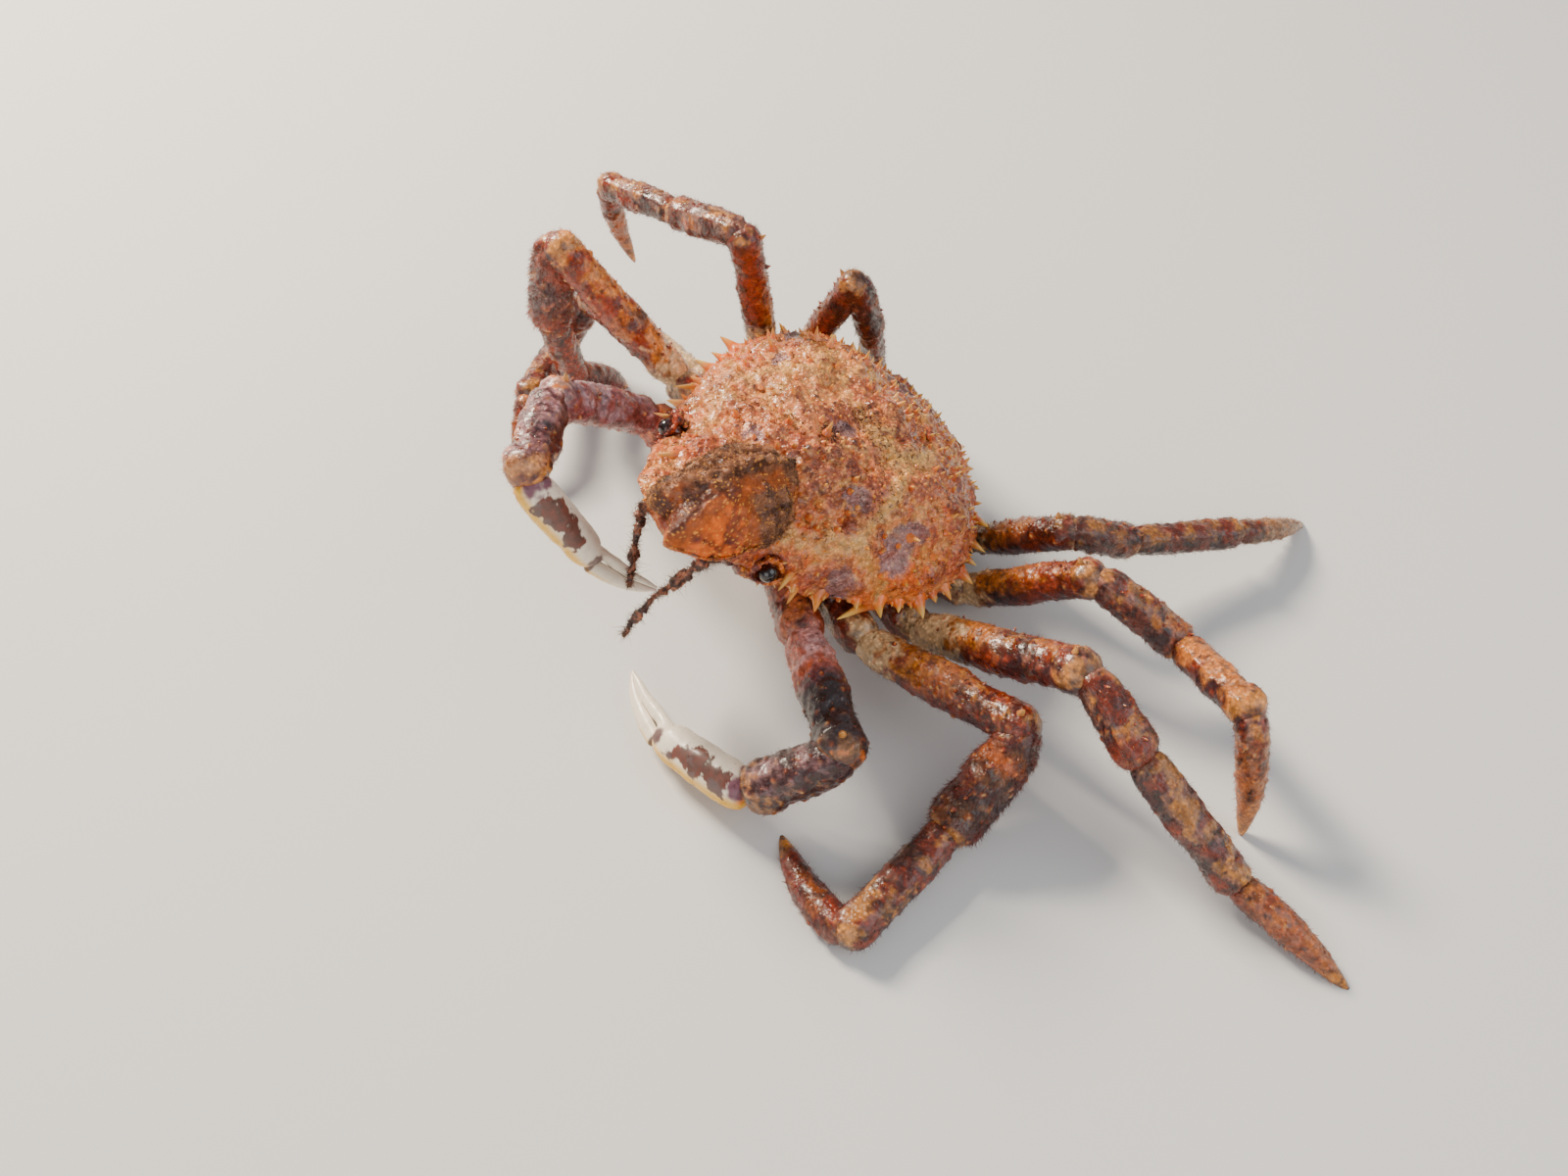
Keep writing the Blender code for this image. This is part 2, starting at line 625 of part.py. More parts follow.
def make_finger(side, joints, radius):
    """The movable finger, hinged on the knuckle."""
    knuckle, tip = joints[3], joints[4]
    across_finger = claw_directions(side, joints)[3]
    route = []
    radii = []
    for t, offset, factor in MOVABLE_FINGER_STATIONS:
        route.append(knuckle.lerp(tip, t) + across_finger * offset * radius * MM)
        radii.append(radius * factor)
    return tube("finger", route, radii)


def make_limb(side, pair, carapace, thorax):
    rng = random.Random(100 * pair + (1 if side == "left" else 2))
    joints = limb_joints(side, pair)
    claw = pair == 1
    stem = ("cheliped_%s_" % side) if claw else ("leg_%s_%d_" % (side, pair))
    names = CLAW_ARTICLES if claw else ARTICLES
    root = in_world(mirrored(HIP_ROOT[pair], side))
    hip_radius = HIP_RADIUS[pair]
    hip = article(root, joints[0], hip_radius, rng)
    seat(hip, thorax, carapace)
    rest_on_floor(hip)
    finish(hip, stem + "hip", LEG_COLOUR, 0.5)
    previous = hip
    for i, name in enumerate(names):
        start, end = joints[i], joints[i + 1]
        radius = RADII[pair][i] * SLIMNESS[side]
        direction = (end - start).normalized()
        colour = LEG_COLOUR
        if name == "dactyl":
            before = (start - joints[i - 1]).normalized()
            bend_way = (before - direction * before.dot(direction)).normalized()
            if bend_way.z < -BEND_LIMIT:
                bend_way.negate()
            piece = pointed_article(start, end, radius, DACTYL_BOW, bend_way)
        elif name == "palm":
            piece = make_palm(side, joints, radius)
            colour = CLAW_COLOUR
        elif name == "finger":
            piece = make_finger(side, joints, RADII[pair][2] * SLIMNESS[side])
            colour = CLAW_COLOUR
        else:
            piece = article(start, end, radius, rng, swell=0.04 if name == "carpus" else 0)
        if name == "merus":
            apply_boolean(piece, "UNION", [terminal_spine(end, direction, radius)])
        seat(piece, previous)
        if name == "merus":
            seat(piece, carapace)
        rest_on_floor(piece)
        previous = finish(piece, stem + name, colour, 0.5)


def stand_on_origin(collection):
    """Shifts the whole crab so that the middle of its box is over the origin."""
    low = [min(v.co[i] for thing in collection.objects for v in thing.data.vertices) for i in range(2)]
    high = [max(v.co[i] for thing in collection.objects for v in thing.data.vertices) for i in range(2)]
    shift = Matrix.Translation((-(low[0] + high[0]) / 2, -(low[1] + high[1]) / 2, 0))
    for thing in collection.objects:
        thing.data.transform(shift)


def main():
    for thing in list(bpy.data.objects):
        bpy.data.objects.remove(thing)
    crab = bpy.data.collections.new("giant_spider_crab")
    bpy.context.scene.collection.children.link(crab)
    carapace = make_carapace()
    thorax = make_trunk()
    make_abdomen(thorax)
    make_mouthparts(carapace, thorax)
    growth = make_growth(carapace)
    for side in ("left", "right"):
        make_eye(side, carapace)
        make_feeler(side, carapace, growth)
        for pair in LENGTHS:
            make_limb(side, pair, carapace, thorax)
    stand_on_origin(crab)


main()
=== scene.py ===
"""Looks of the giant spider crab: shell skins, spines, bristles, sponge, eyes, feelers, floor and light.

Shapes are worked out in millimetres, in the row frame or in the frame of the crab's body (x to its
left, y to its rear, z up through its back), and become meshes in metres.
"""

import math

import bpy
import numpy as np
from mathutils import Matrix, Vector


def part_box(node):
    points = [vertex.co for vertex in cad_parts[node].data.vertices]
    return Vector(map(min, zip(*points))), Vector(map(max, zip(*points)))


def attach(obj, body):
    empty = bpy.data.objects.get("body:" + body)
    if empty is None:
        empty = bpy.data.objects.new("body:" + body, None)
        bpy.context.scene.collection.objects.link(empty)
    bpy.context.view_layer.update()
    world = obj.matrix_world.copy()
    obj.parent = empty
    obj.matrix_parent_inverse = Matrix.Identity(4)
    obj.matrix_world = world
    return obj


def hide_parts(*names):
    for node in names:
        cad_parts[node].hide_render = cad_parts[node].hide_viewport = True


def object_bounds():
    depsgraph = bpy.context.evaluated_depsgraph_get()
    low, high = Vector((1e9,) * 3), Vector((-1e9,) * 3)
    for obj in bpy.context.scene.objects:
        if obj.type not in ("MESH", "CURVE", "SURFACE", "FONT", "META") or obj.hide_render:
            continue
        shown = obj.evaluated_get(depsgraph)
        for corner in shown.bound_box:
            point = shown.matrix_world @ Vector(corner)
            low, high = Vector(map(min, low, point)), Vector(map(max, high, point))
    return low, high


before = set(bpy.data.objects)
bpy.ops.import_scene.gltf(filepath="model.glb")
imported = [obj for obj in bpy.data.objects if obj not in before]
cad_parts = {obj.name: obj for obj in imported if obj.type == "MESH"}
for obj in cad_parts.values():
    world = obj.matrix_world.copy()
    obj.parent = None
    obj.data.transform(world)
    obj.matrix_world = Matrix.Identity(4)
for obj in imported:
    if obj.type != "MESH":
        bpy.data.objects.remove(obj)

MM = 0.001
# Share of the full fineness of skins and coats
DETAIL = 1.0


def as_lists(box):
    return [[float(value) for value in corner] for corner in box]


CAD_BOX = as_lists(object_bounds())

# The body's place and tilt, as in the solids; the thorax tells how far the whole crab was shifted
BODY_PITCH = math.radians(15)
BODY_ROLL = math.radians(19)
THORAX_TO_ORIGIN = np.array((4.768, 1.998, 14.739))
UNSHIFTED_ORIGIN = np.array((-21.0, -14.0, 33.0))
LOW, HIGH = (np.array(corner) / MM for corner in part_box("thorax"))
ORIGIN = (LOW + HIGH) / 2 + THORAX_TO_ORIGIN
SHIFT = ORIGIN - UNSHIFTED_ORIGIN


def body_axes():
    pitch = np.array(Matrix.Rotation(-BODY_PITCH, 3, "X"))
    roll = np.array(Matrix.Rotation(BODY_ROLL, 3, "Y"))
    return pitch @ roll


AXES = body_axes()

# Carapace, as in the solids apart from its under side, which is higher at the front here. The tables
# give a value for each place from front to rear, REGIONS (x, y, radius, rise), spines (y, length) or
# (x, y, length), and FRONT_SPINES the root, the tip and the radius
FRONT_Y = -50.0
REAR_Y = 41.0
HALF_WIDTH = ((-50, 0), (-48, 5.5), (-44, 9), (-38, 13), (-31, 16.5), (-25, 20), (-20, 24), (-8, 30.5),
              (2, 34), (14, 33.5), (22, 29.6), (29, 23.8), (34, 17.7), (38, 11), (40, 6), (41, 0))
MARGIN_HEIGHT = ((-50, 8.5), (-40, 6), (-31, 1.5), (-22, -3.5), (-8, -4.5), (2, -5.5), (41, -6))
CREST_HEIGHT = ((-50, 10.5), (-40, 10), (-30, 9.5), (-22, 10), (-12, 12.5), (0, 12.5), (12, 11.5),
                (20, 7.5), (28, 3), (35, -1.5), (41, -6))
UNDER_HEIGHT = ((-50, 5), (-44, 2.5), (-36, -3), (-32, -6), (-28, -9), (-24, -12), (41, -12))
DOME_FLATNESS = 2.3
DOME_EDGE = 0.62
SHELL_CENTRE = np.array((0.0, -2.0))
UNDER_INSET = 0.24
REGIONS = ((0, -14, 8, 1.6), (0, 9, 6, 1.8), (0, 25, 6, 1.0), (18, 5, 10, 2.0), (24, -17, 4.5, 1.6),
           (9, 3, 3.5, -1.6), (8, 15, 3.5, -1.4), (15, -13, 4.5, -1.7),
           (0, 1, 3.2, -0.9), (0, 18, 3, -0.8), (27, -8, 4, -0.9), (11, -27, 5, -1.0))
MARGIN_SPINES = ((-24.5, 3.2), (-20, 5.2), (-12.5, 3), (-8, 5), (-3.5, 3.2), (1.5, 6), (6, 2.6), (10, 3.6),
                 (16.5, 5.2), (20.5, 3), (24.5, 4), (29.5, 5), (32.5, 2.6), (35, 3), (37.5, 2.4), (39.8, 2.4))
BACK_SPINES = ((0, -17, 2.6), (0, -8.5, 3.2), (0, 4, 2.2), (0, 11.5, 3.2), (0, 17.5, 3), (0, 26, 2.8),
               (4.5, -19.5, 2.4), (10.5, -8.5, 3), (12.5, -20, 2.4), (24.5, -1, 3.4), (22, -11.5, 2.8),
               (14, 1, 2.2), (24, 11, 3), (15, 11, 2.4), (16, 20.5, 2.8), (7.5, 30, 2.6), (23, 20, 2.6),
               (17, 29, 2.6), (0, 33.5, 2.6), (29, 4.5, 2.4), (24.5, -19, 2.6), (11.5, 34, 2.2))
FRONT_SPINES = (((2.4, -44, 8), (1.6, -52, 11), 1.7), ((9, -36, 6.5), (10.4, -43.5, 8.6), 1.9),
                ((18, -24, 0), (20.8, -30, 2.6), 1.7), ((19.5, -22, -3), (23.4, -27.5, -1.6), 1.5),
                ((28.5, -6.5, -8), (29.5, -16, -6.5), 2.0))
EYE_CENTRE = np.array((17.2, -31.0, 2.4))
EYE_RADIUS = 2.0
EYE_STALK_ROOT = np.array((12.2, -27.5, 1.2))
ORBIT_RADIUS = 3.5
# Side, radius of the rim, its thickness, how dark and hairy it is, and its hairs
ORBITS = (("left", 2.9, 0.7, 0.0, 140), ("right", 3.3, 1.0, 1.0, 520))
ORBIT_SPINES = (-120, -75, -20, 35, 80, 130)
# Spinules between the named spines of the back: how many, tries for them, least squared distance
SPINULES = 400
MOST_TRIES = 12000
SPINULE_SPACING = 3.4

# Limbs, as in the solids: their pairs are numbered from the claws back, and POSE has a turn and a rise
# in degrees for each article; a rise of FOOT brings the tip down to the floor
HIP_ROOT = {1: (14, -17, -14), 2: (16, -8, -15.5), 3: (17, 2, -15.5), 4: (16, 12, -15.5), 5: (13, 20, -15)}
HIP_END = {
    "left": {1: (28, -22, -12), 2: (34, -9.5, -13), 3: (37, 4, -13), 4: (35, 21.5, -12.5), 5: (26, 33, -12)},
    "right": {1: (28, -22, -12), 2: (34.5, -9.5, -12.5), 3: (37, -2, -17.5), 4: (37, 16, -12.5),
              5: (32, 24, -11.5)},
}
LENGTHS = {1: (29.5, 20, 24, 17.5), 2: (39, 23, 29, 24.5), 3: (44, 17, 30, 26), 4: (33, 22.5, 25, 28.5),
           5: (28, 17, 27, 27.5)}
RADII = {1: (4.6, 4.6, 5.2, 2.1), 2: (4.3, 5.2, 3.9, 3.5), 3: (4.3, 4.1, 3.7, 3.1), 4: (3.9, 3.8, 3.5, 3.0),
         5: (3.6, 3.6, 3.2, 2.7)}
HIP_RADIUS = {1: 4.4, 2: 4.2, 3: 4.2, 4: 3.9, 5: 3.5}
SLIMNESS = {"left": 1.0, "right": 0.86}
FOOT = None
POSE = {
    ("left", 1): ((-27, 6), (-129, -35), (-169, -10), (164, -4)),
    ("left", 2): ((8, 10), (-89, -39), (-86, -3), (168, FOOT)),
    ("left", 3): ((5, 31), (-6, -26), (8, -36), (5, FOOT)),
    ("left", 4): ((18, 40), (25, -30), (-26, 24), (-27, FOOT)),
    ("left", 5): ((8, 42), (65, -29), (64, -11), (78, FOOT)),
    ("right", 1): ((-88, 42), (-47, 1), (45, -67), (64, -51)),
    ("right", 2): ((-146, 52), (-172, -74), (141, -66), (105, FOOT)),
    ("right", 3): ((178, -6), (-150, -60), (-51, 13), (-45, FOOT)),
    ("right", 4): ((-86, 81), (-177, -15), (-177, -11), (119, -73)),
    ("right", 5): ((18, 63), (90, -72), (125, -62), (-10, FOOT)),
}
FOOT_HEIGHT = -0.5
DACTYL_BOW = 0.06
DACTYL_PROFILE = ((0.0, 0.6), (0.03, 0.8), (0.07, 0.94), (0.14, 1.0), (0.4, 0.95), (0.65, 0.75), (0.86, 0.45),
                  (0.97, 0.2), (1.0, 0.07))
# Sizes of a leg skin's faces, and its hairs; the left and right second carpus are the most hairy
ROW_STEP = 0.36
COLUMN_STEP = 0.42
LEG_HAIRS = {"hip": 160, "merus": 850, "carpus": 700, "propodus": 750, "dactyl": 420}
CLAW_HAIR_SHARE = 0.55
HAIRY_CARPUS = 2600
# How far down a tip's bow may point before it is turned over
BEND_LIMIT = 0.2
CLAW_FACING = {"left": (-0.17, 0.84, 0.52), "right": (0.0, 0.89, 0.46)}
PALM_THICKNESS = 0.84
PALM_STATIONS = ((0.03, 0, 0.62), (0.15, 0, 0.8), (0.42, 0, 0.85), (0.7, 0, 0.8), (0.93, 0, 0.7))
FIXED_FINGER_STATIONS = ((0.08, 0.25, 0.3), (0.3, 0.17, 0.24), (0.55, 0.04, 0.2), (0.8, 0.04, 0.13),
                         (0.97, 0.01, 0.07))
MOVABLE_FINGER_STATIONS = ((-0.05, -0.34, 0.34), (0.06, -0.38, 0.36), (0.25, -0.4, 0.35), (0.5, -0.4, 0.29),
                           (0.78, -0.27, 0.19), (0.98, -0.06, 0.08))
PALM_SHIFT = {"left": -0.26, "right": -0.1}
# Sideways place of the line where the closed fingers meet, and half the slit between them
MEETING_LINE = ((0, -0.05), (0.25, -0.06), (0.5, -0.13), (0.78, -0.085), (1, -0.03))
HALF_SLIT = 0.05
HAND_ROWS = 150
FINGER_ROWS = 110
HAND_COLUMNS = 84
HAND_HAIRS = 160
# Feelers in the row frame before the shift, and their bases in the body's frame
FEELERS = {
    "left": ((-5, -52, 49), (-8, -55, 46), (-12, -60, 40), (-15, -63, 35), (-17, -67, 29), (-18, -69, 25)),
    "right": ((-20, -56, 54), (-21, -59, 51), (-20, -62, 47), (-19, -63.5, 44), (-18, -65, 41), (-18, -66, 38)),
}
FEELER_BASE = ((16.6, -29.6, -1.2), (13.9, -33.8, 0.8), (11.9, -38.0, 4.2))
FEELER_BASE_RADII = ((0, 1.0), (0.12, 1.5), (0.4, 1.4), (0.5, 1.0), (0.58, 1.2), (0.75, 1.0), (0.84, 0.8),
                     (1, 0.6))
FEELER_HAIRS = 1300
GROWTH_CENTRE = np.array((5.2, -36.5, 12.6))
GROWTH_RADII = np.array((10.5, 15.0, 6.0))
# Reach of the growth's outline at bearings in degrees
GROWTH_OUTLINE = ((-180, 0.84), (-150, 0.84), (-128, 1.08), (-116, 1.02), (-102, 0.84), (-88, 0.92),
                  (-76, 1.12), (-56, 1.04), (-30, 0.98), (0, 0.96), (25, 0.98), (50, 0.97), (80, 1.0),
                  (105, 1.02), (125, 0.98), (150, 0.92), (180, 0.84))
GROWTH_HAIRS = 12000
SHELL_HAIRS = 4500
SHELL_TUFTS = 2600

# Markings of the back, in the body's frame: x, y, radius, strength
PURPLE_PATCHES = ((0.4, -3.5, 2.6, 0.9), (14.3, -9, 2.6, 1), (7.3, 14, 2.6, 0.8), (25.1, -3.9, 4, 0.9),
                  (24.5, 1.3, 3, 0.7), (25.7, -17.5, 4, 0.8), (-21.8, -1.9, 3, 0.5), (-7, -21, 5, 0.45),
                  (2, -18, 4, 0.35), (-28.5, 9, 3.2, 0.7), (-14, -9.5, 2.2, 0.3), (-8, 27, 5, 0.6),
                  (-16, 26, 4, 0.5), (-25, 14, 3, 0.5), (20, 22, 4, 0.5), (4, 34, 4, 0.4))
CREAM_LINES = (((12, -28), (15, -24), (17, -20.5), (20, -14.5), (19.5, -9), (17.5, -3), (14, 2), (9.5, 4)),
               ((20, -13), (25, -10.5), (29, -9)), ((9.5, 4), (5, 2), (0, 1.5)),
               ((10, 4), (11.5, 10), (10, 18)))
CREAM_PATCHES = ((-13.8, -10.4, 4.5, 0.6), (-13.2, 1.4, 5, 0.7), (10.9, 3.4, 3, 0.7), (16.2, 0.9, 3, 0.5),
                 (-9, -6, 4, 0.4), (-18, 8, 4, 0.4), (15, 8, 4, 0.4))
RED_PATCHES = ((15.5, -17.2, 3, 1), (10.8, -12.2, 3.2, 0.9), (27.8, -11.2, 3, 0.6), (5, -8, 3.5, 0.5),
               (-20, -9, 3, 0.5), (-16, -18, 4, 0.5), (2, 5, 2, 0.5), (-6, -13, 4, 0.4), (20, -4, 2.5, 0.5))


# The render's tone curve lifts and fades colours; this power on linear light sets them back
DEEPEN = 1.4
# The painted shade between beads, and the pores, darken the shell on the whole; the back's markings are
# lightened to make up for it
BACK_GAIN = np.array((4.1, 4.6, 4.2))
# No channel of a painted colour passes this; brighter ones keep their hue
BRIGHTEST = 0.88
# Lightness of each limb by its pair, set against how the photo's light falls on it
LEFT_GAIN = {1: 1.4, 2: 1.05, 3: 1.1, 4: 1.15, 5: 0.66}
RIGHT_GAIN = {1: 2.5, 2: 1.8, 3: 1.2, 4: 1.3, 5: 0.9}


def ink(red, green, blue):
    """A colour given in display values from 0 to 255, as deepened linear light."""
    value = np.array((red, green, blue), float) / 255
    return np.where(value <= 0.04045, value / 12.92, ((value + 0.055) / 1.055) ** 2.4) ** DEEPEN


CREAM = ink(236, 196, 132)
PINK_TAN = ink(212, 150, 106)
RUST = ink(150, 62, 34)
DEEP_RED = ink(98, 30, 20)
ORANGE = ink(228, 122, 30)
HOT_ORANGE = ink(242, 142, 22)
SPINE_TIP = ink(248, 210, 146)
PURPLE_GREY = ink(120, 98, 104)
TAN = ink(206, 150, 84)
PALE_BASE = ink(240, 212, 170) * 1.5
LEG_RED = ink(172, 84, 44)
PLUM = ink(98, 48, 54)
LILAC_HIGHLIGHT = ink(214, 160, 136)
SUNLIT_GOLD = ink(238, 172, 80)
DARK_PIT = ink(44, 20, 12)
CLAW_WHITE = ink(255, 244, 226) * 1.3
CLAW_YELLOW = ink(250, 204, 70) * 1.2
CLAW_BROWN = ink(116, 42, 12)
CLAW_PURPLE = ink(104, 30, 54)
SPONGE_ORANGE = ink(226, 126, 10) * 1.25


def in_world(points):
    return ORIGIN + np.asarray(points, float) @ AXES.T


def to_side(point, side):
    return np.array(point, float) * (1 if side == "left" else -1, 1, 1)


def unit(vector):
    return vector / np.linalg.norm(vector, axis=-1, keepdims=True)


def ramp(value, start, end):
    """0 before start, 1 after end, smooth between; start may be the larger."""
    t = np.clip((value - start) / (end - start), 0, 1)
    return t * t * (3 - 2 * t)


def bump(away, width, aside=0, breadth=1):
    """1 where away is 0, fading out over width, and over breadth for aside."""
    return np.exp(-(away / width) ** 2 - (aside / breadth) ** 2)


def mix(first, second, weight):
    weight = np.asarray(weight)[..., None]
    return first * (1 - weight) + second * weight


def along(stations, place):
    """Smooth curve through (place, value) stations, with flat ends."""
    xs, values = np.array(stations, float).T
    place = np.clip(place, xs[0], xs[-1])
    i = np.clip(np.searchsorted(xs, place, side="right") - 1, 0, len(xs) - 2)
    slopes = np.diff(values) / np.diff(xs)
    slope = slopes[i]
    before = slopes[np.maximum(i - 1, 0)]
    after = slopes[np.minimum(i + 1, len(slopes) - 1)]
    start = np.where(before * slope > 0, (before + slope) / 2, 0)
    end = np.where(after * slope > 0, (after + slope) / 2, 0)
    span = xs[i + 1] - xs[i]
    t = (place - xs[i]) / span
    return (values[i] * (1 + 2 * t) * (1 - t) ** 2 + values[i + 1] * t * t * (3 - 2 * t)
            + span * start * t * (1 - t) ** 2 - span * end * t * t * (1 - t))


def route_along(key, stations, place):
    """A smooth route through points, of which each lies at its key."""
    return np.stack([along(list(zip(key, stations[:, i])), place) for i in range(3)], -1)


def scramble(x, y, z, seed):
    """A fixed number from 0 to 1 for each whole-numbered place."""
    n = x * 374761393 + y * 668265263 + z * 1274126177 + seed * 974634777
    n = (n ^ (n >> 13)) * 1103515245
    n = (n ^ (n >> 15)) * 12345701
    return ((n ^ (n >> 16)) & 0xFFFFFF) / 0xFFFFFF


def noise(points, size, seed=0):
    """Smooth noise from -1 to 1 whose grain is size."""
    q = points / size
    i = np.floor(q).astype(np.int64)
    f = q - i
    f = f * f * (3 - 2 * f)
    total = np.zeros(len(points))
    for corner in np.ndindex(2, 2, 2):
        weight = np.prod(np.where(corner, f, 1 - f), axis=1)
        total += weight * scramble(i[:, 0] + corner[0], i[:, 1] + corner[1], i[:, 2] + corner[2], seed)
    return total * 2 - 1


def line_noise(place, size, seed, lane=0):
    """Smooth noise along a line; each lane has its own."""
    return noise(np.c_[place, place * 0, place * 0 + lane], size, seed)


def rough(points, size, octaves=3, seed=0):
    parts = [noise(points, size / 2 ** k, seed + k) * 0.55 ** k for k in range(octaves)]
    return sum(parts) / 0.75


def cells(points, size, seed=0):
    """Distance to the nearest of some scattered places, as a share of size, and a number for that place."""
    q = points / size
    home = np.floor(q).astype(np.int64)
    nearest = np.full(len(points), 9.0)
    owner = np.zeros(len(points))
    for step in np.ndindex(3, 3, 3):
        x, y, z = (home + np.array(step) - 1).T
        place = np.stack([x + scramble(x, y, z, seed), y + scramble(x, y, z, seed + 1),
                          z + scramble(x, y, z, seed + 2)], -1)
        distance = np.linalg.norm(q - place, axis=1)
        closer = distance < nearest
        nearest[closer] = distance[closer]
        owner[closer] = scramble(x, y, z, seed + 3)[closer]
    return nearest, owner


def blobs(points, spots):
    """Strength of some round marks at each (x, y)."""
    total = np.zeros(len(points))
    for x, y, radius, strength in spots:
        square = (points[:, 0] - x) ** 2 + (points[:, 1] - y) ** 2
        total = np.maximum(total, strength * np.exp(-square / radius ** 2))
    return total


def line_distance(points, line):
    best = np.full(len(points), 99.0)
    for a, b in zip(line[:-1], line[1:]):
        a, b = np.array(a, float), np.array(b, float)
        t = np.clip((points[:, :2] - a) @ (b - a) / ((b - a) @ (b - a)), 0, 1)
        best = np.minimum(best, np.linalg.norm(points[:, :2] - a - t[:, None] * (b - a), axis=1))
    return best


class Surface:
    """Collects points, colours and faces, and makes one mesh piece of them."""

    def __init__(self):
        self.points, self.colours, self.quads, self.tris, self.maps = [], [], [], [], []
        self.count = 0

    def add(self, points, colours, quads=None, tris=None, places=None):
        self.points.append(points)
        self.colours.append(np.broadcast_to(colours, points.shape))
        if quads is not None:
            self.quads.append(quads + self.count)
        if tris is not None:
            self.tris.append(tris + self.count)
        if places is not None:
            self.maps.append(places)
        self.count += len(points)

    def add_grid(self, grid, colours, turned=False):
        """Adds rings of points, closed at both ends; turned swaps the sides of the faces."""
        quads, tris = grid_faces(*grid.shape[:2])
        if turned:
            quads, tris = quads[:, ::-1], tris[:, ::-1]
        self.add(capped(grid), capped(colours.reshape(grid.shape)), quads, tris)

    def make(self, name, material, slot, nodes=()):
        points = np.concatenate(self.points) * MM
        points = np.clip(points, np.array(CAD_BOX[0]) + 1e-6, np.array(CAD_BOX[1]) - 1e-6)
        loops = [faces.ravel() for faces in self.quads + self.tris]
        sizes = [np.full(len(faces), faces.shape[1]) for faces in self.quads + self.tris]
        loops, sizes = np.concatenate(loops), np.concatenate(sizes)
        mesh = bpy.data.meshes.new(name)
        mesh.vertices.add(len(points))
        mesh.vertices.foreach_set("co", points.astype(np.float32).ravel())
        mesh.loops.add(len(loops))
        mesh.loops.foreach_set("vertex_index", loops.astype(np.int32))
        mesh.polygons.add(len(sizes))
        mesh.polygons.foreach_set("loop_start", (np.cumsum(sizes) - sizes).astype(np.int32))
        mesh.update(calc_edges=True)
        tint = mesh.color_attributes.new("tint", "FLOAT_COLOR", "POINT")
        colours = np.clip(np.concatenate(self.colours), 0.001, None)
        colours = colours * np.minimum(1, BRIGHTEST / colours.max(1, keepdims=True))
        tint.data.foreach_set("color", np.c_[colours, np.ones(len(colours))].astype(np.float32).ravel())
        if self.maps:
            places = np.concatenate(self.maps)
            mesh.uv_layers.new(name="OFBake").data.foreach_set("uv", places[loops].astype(np.float32).ravel())
        mesh.shade_smooth()
        mesh.materials.append(material)
        piece = bpy.data.objects.new(name, mesh)
        bpy.context.scene.collection.objects.link(piece)
        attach(piece, "root")
        if nodes:
            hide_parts(*nodes)
        return piece


def grid_faces(rows, columns):
    """Faces of a tube of rows round its axis, closed by a point at each end; the two points come last."""
    ring = np.arange(columns)
    following = (ring + 1) % columns
    start = np.arange(rows - 1)[:, None] * columns
    quads = np.stack([start + ring, start + following, start + columns + following, start + columns + ring], -1)
    first = np.stack([following, ring, np.full(columns, rows * columns)], -1)
    top = (rows - 1) * columns
    last = np.stack([top + ring, top + following, np.full(columns, rows * columns + 1)], -1)
    return quads.reshape(-1, 4), np.concatenate([first, last])


def capped(grid):
    """The points of a grid as one list with the middle of each end row added."""
    return np.concatenate([grid.reshape(-1, 3), grid[:1].mean(1), grid[-1:].mean(1)])


def raised(direction):
    """The way square to a direction that points most upwards."""
    up = np.array((0.0, 0.0, 1.0)) - direction * direction[2]
    if np.linalg.norm(up) > 0.2:
        return unit(up)
    return unit(np.array(Vector(direction).orthogonal()))


def loft(route, radii, up, columns, squeeze=1.0):
    """A grid of rings along a route; up is the way of the first column, squeeze flattens across it."""
    axis = unit(np.gradient(route, axis=0))
    up = unit(up - axis * (axis @ up)[:, None])
    cross = np.cross(axis, up)
    angle = np.arange(columns) * 2 * math.pi / columns
    ways = up[:, None] * np.cos(angle)[:, None] + cross[:, None] * np.sin(angle)[:, None] * squeeze
    return route[:, None] + ways * radii[:, None, None], np.broadcast_to(np.cos(angle), ways.shape[:2])


def normals_of(grid):
    """Outward directions of a grid whose columns close on themselves."""
    around = np.roll(grid, -1, axis=1) - np.roll(grid, 1, axis=1)
    forward = np.gradient(grid, axis=0)
    normal = np.cross(around, forward)
    return normal / np.maximum(np.linalg.norm(normal, axis=-1, keepdims=True), 1e-9)


# Spikes and bristles are made many at a time

# Radius of a spike at shares of its length
SPIKE_SHAPE = ((-0.18, 1.3), (0.0, 1.1), (0.1, 0.86), (0.28, 0.64), (0.5, 0.46), (0.72, 0.3), (0.9, 0.15),
               (1.0, 0.03))
# Faces of a hair of seven points: three at its foot, three at its middle and its tip
HAIR_FACES = np.array(((0, 1, 4), (0, 4, 3), (1, 2, 5), (1, 5, 4), (2, 0, 3), (2, 3, 5),
                       (3, 4, 6), (4, 5, 6), (5, 3, 6), (2, 1, 0)))
HAIR_UNWRAP = np.array(((0, 0), (1, 0), (0.5, 0.9), (0.1, 0.3), (0.9, 0.3), (0.5, 0.8), (0.5, 0.5))) * 0.003


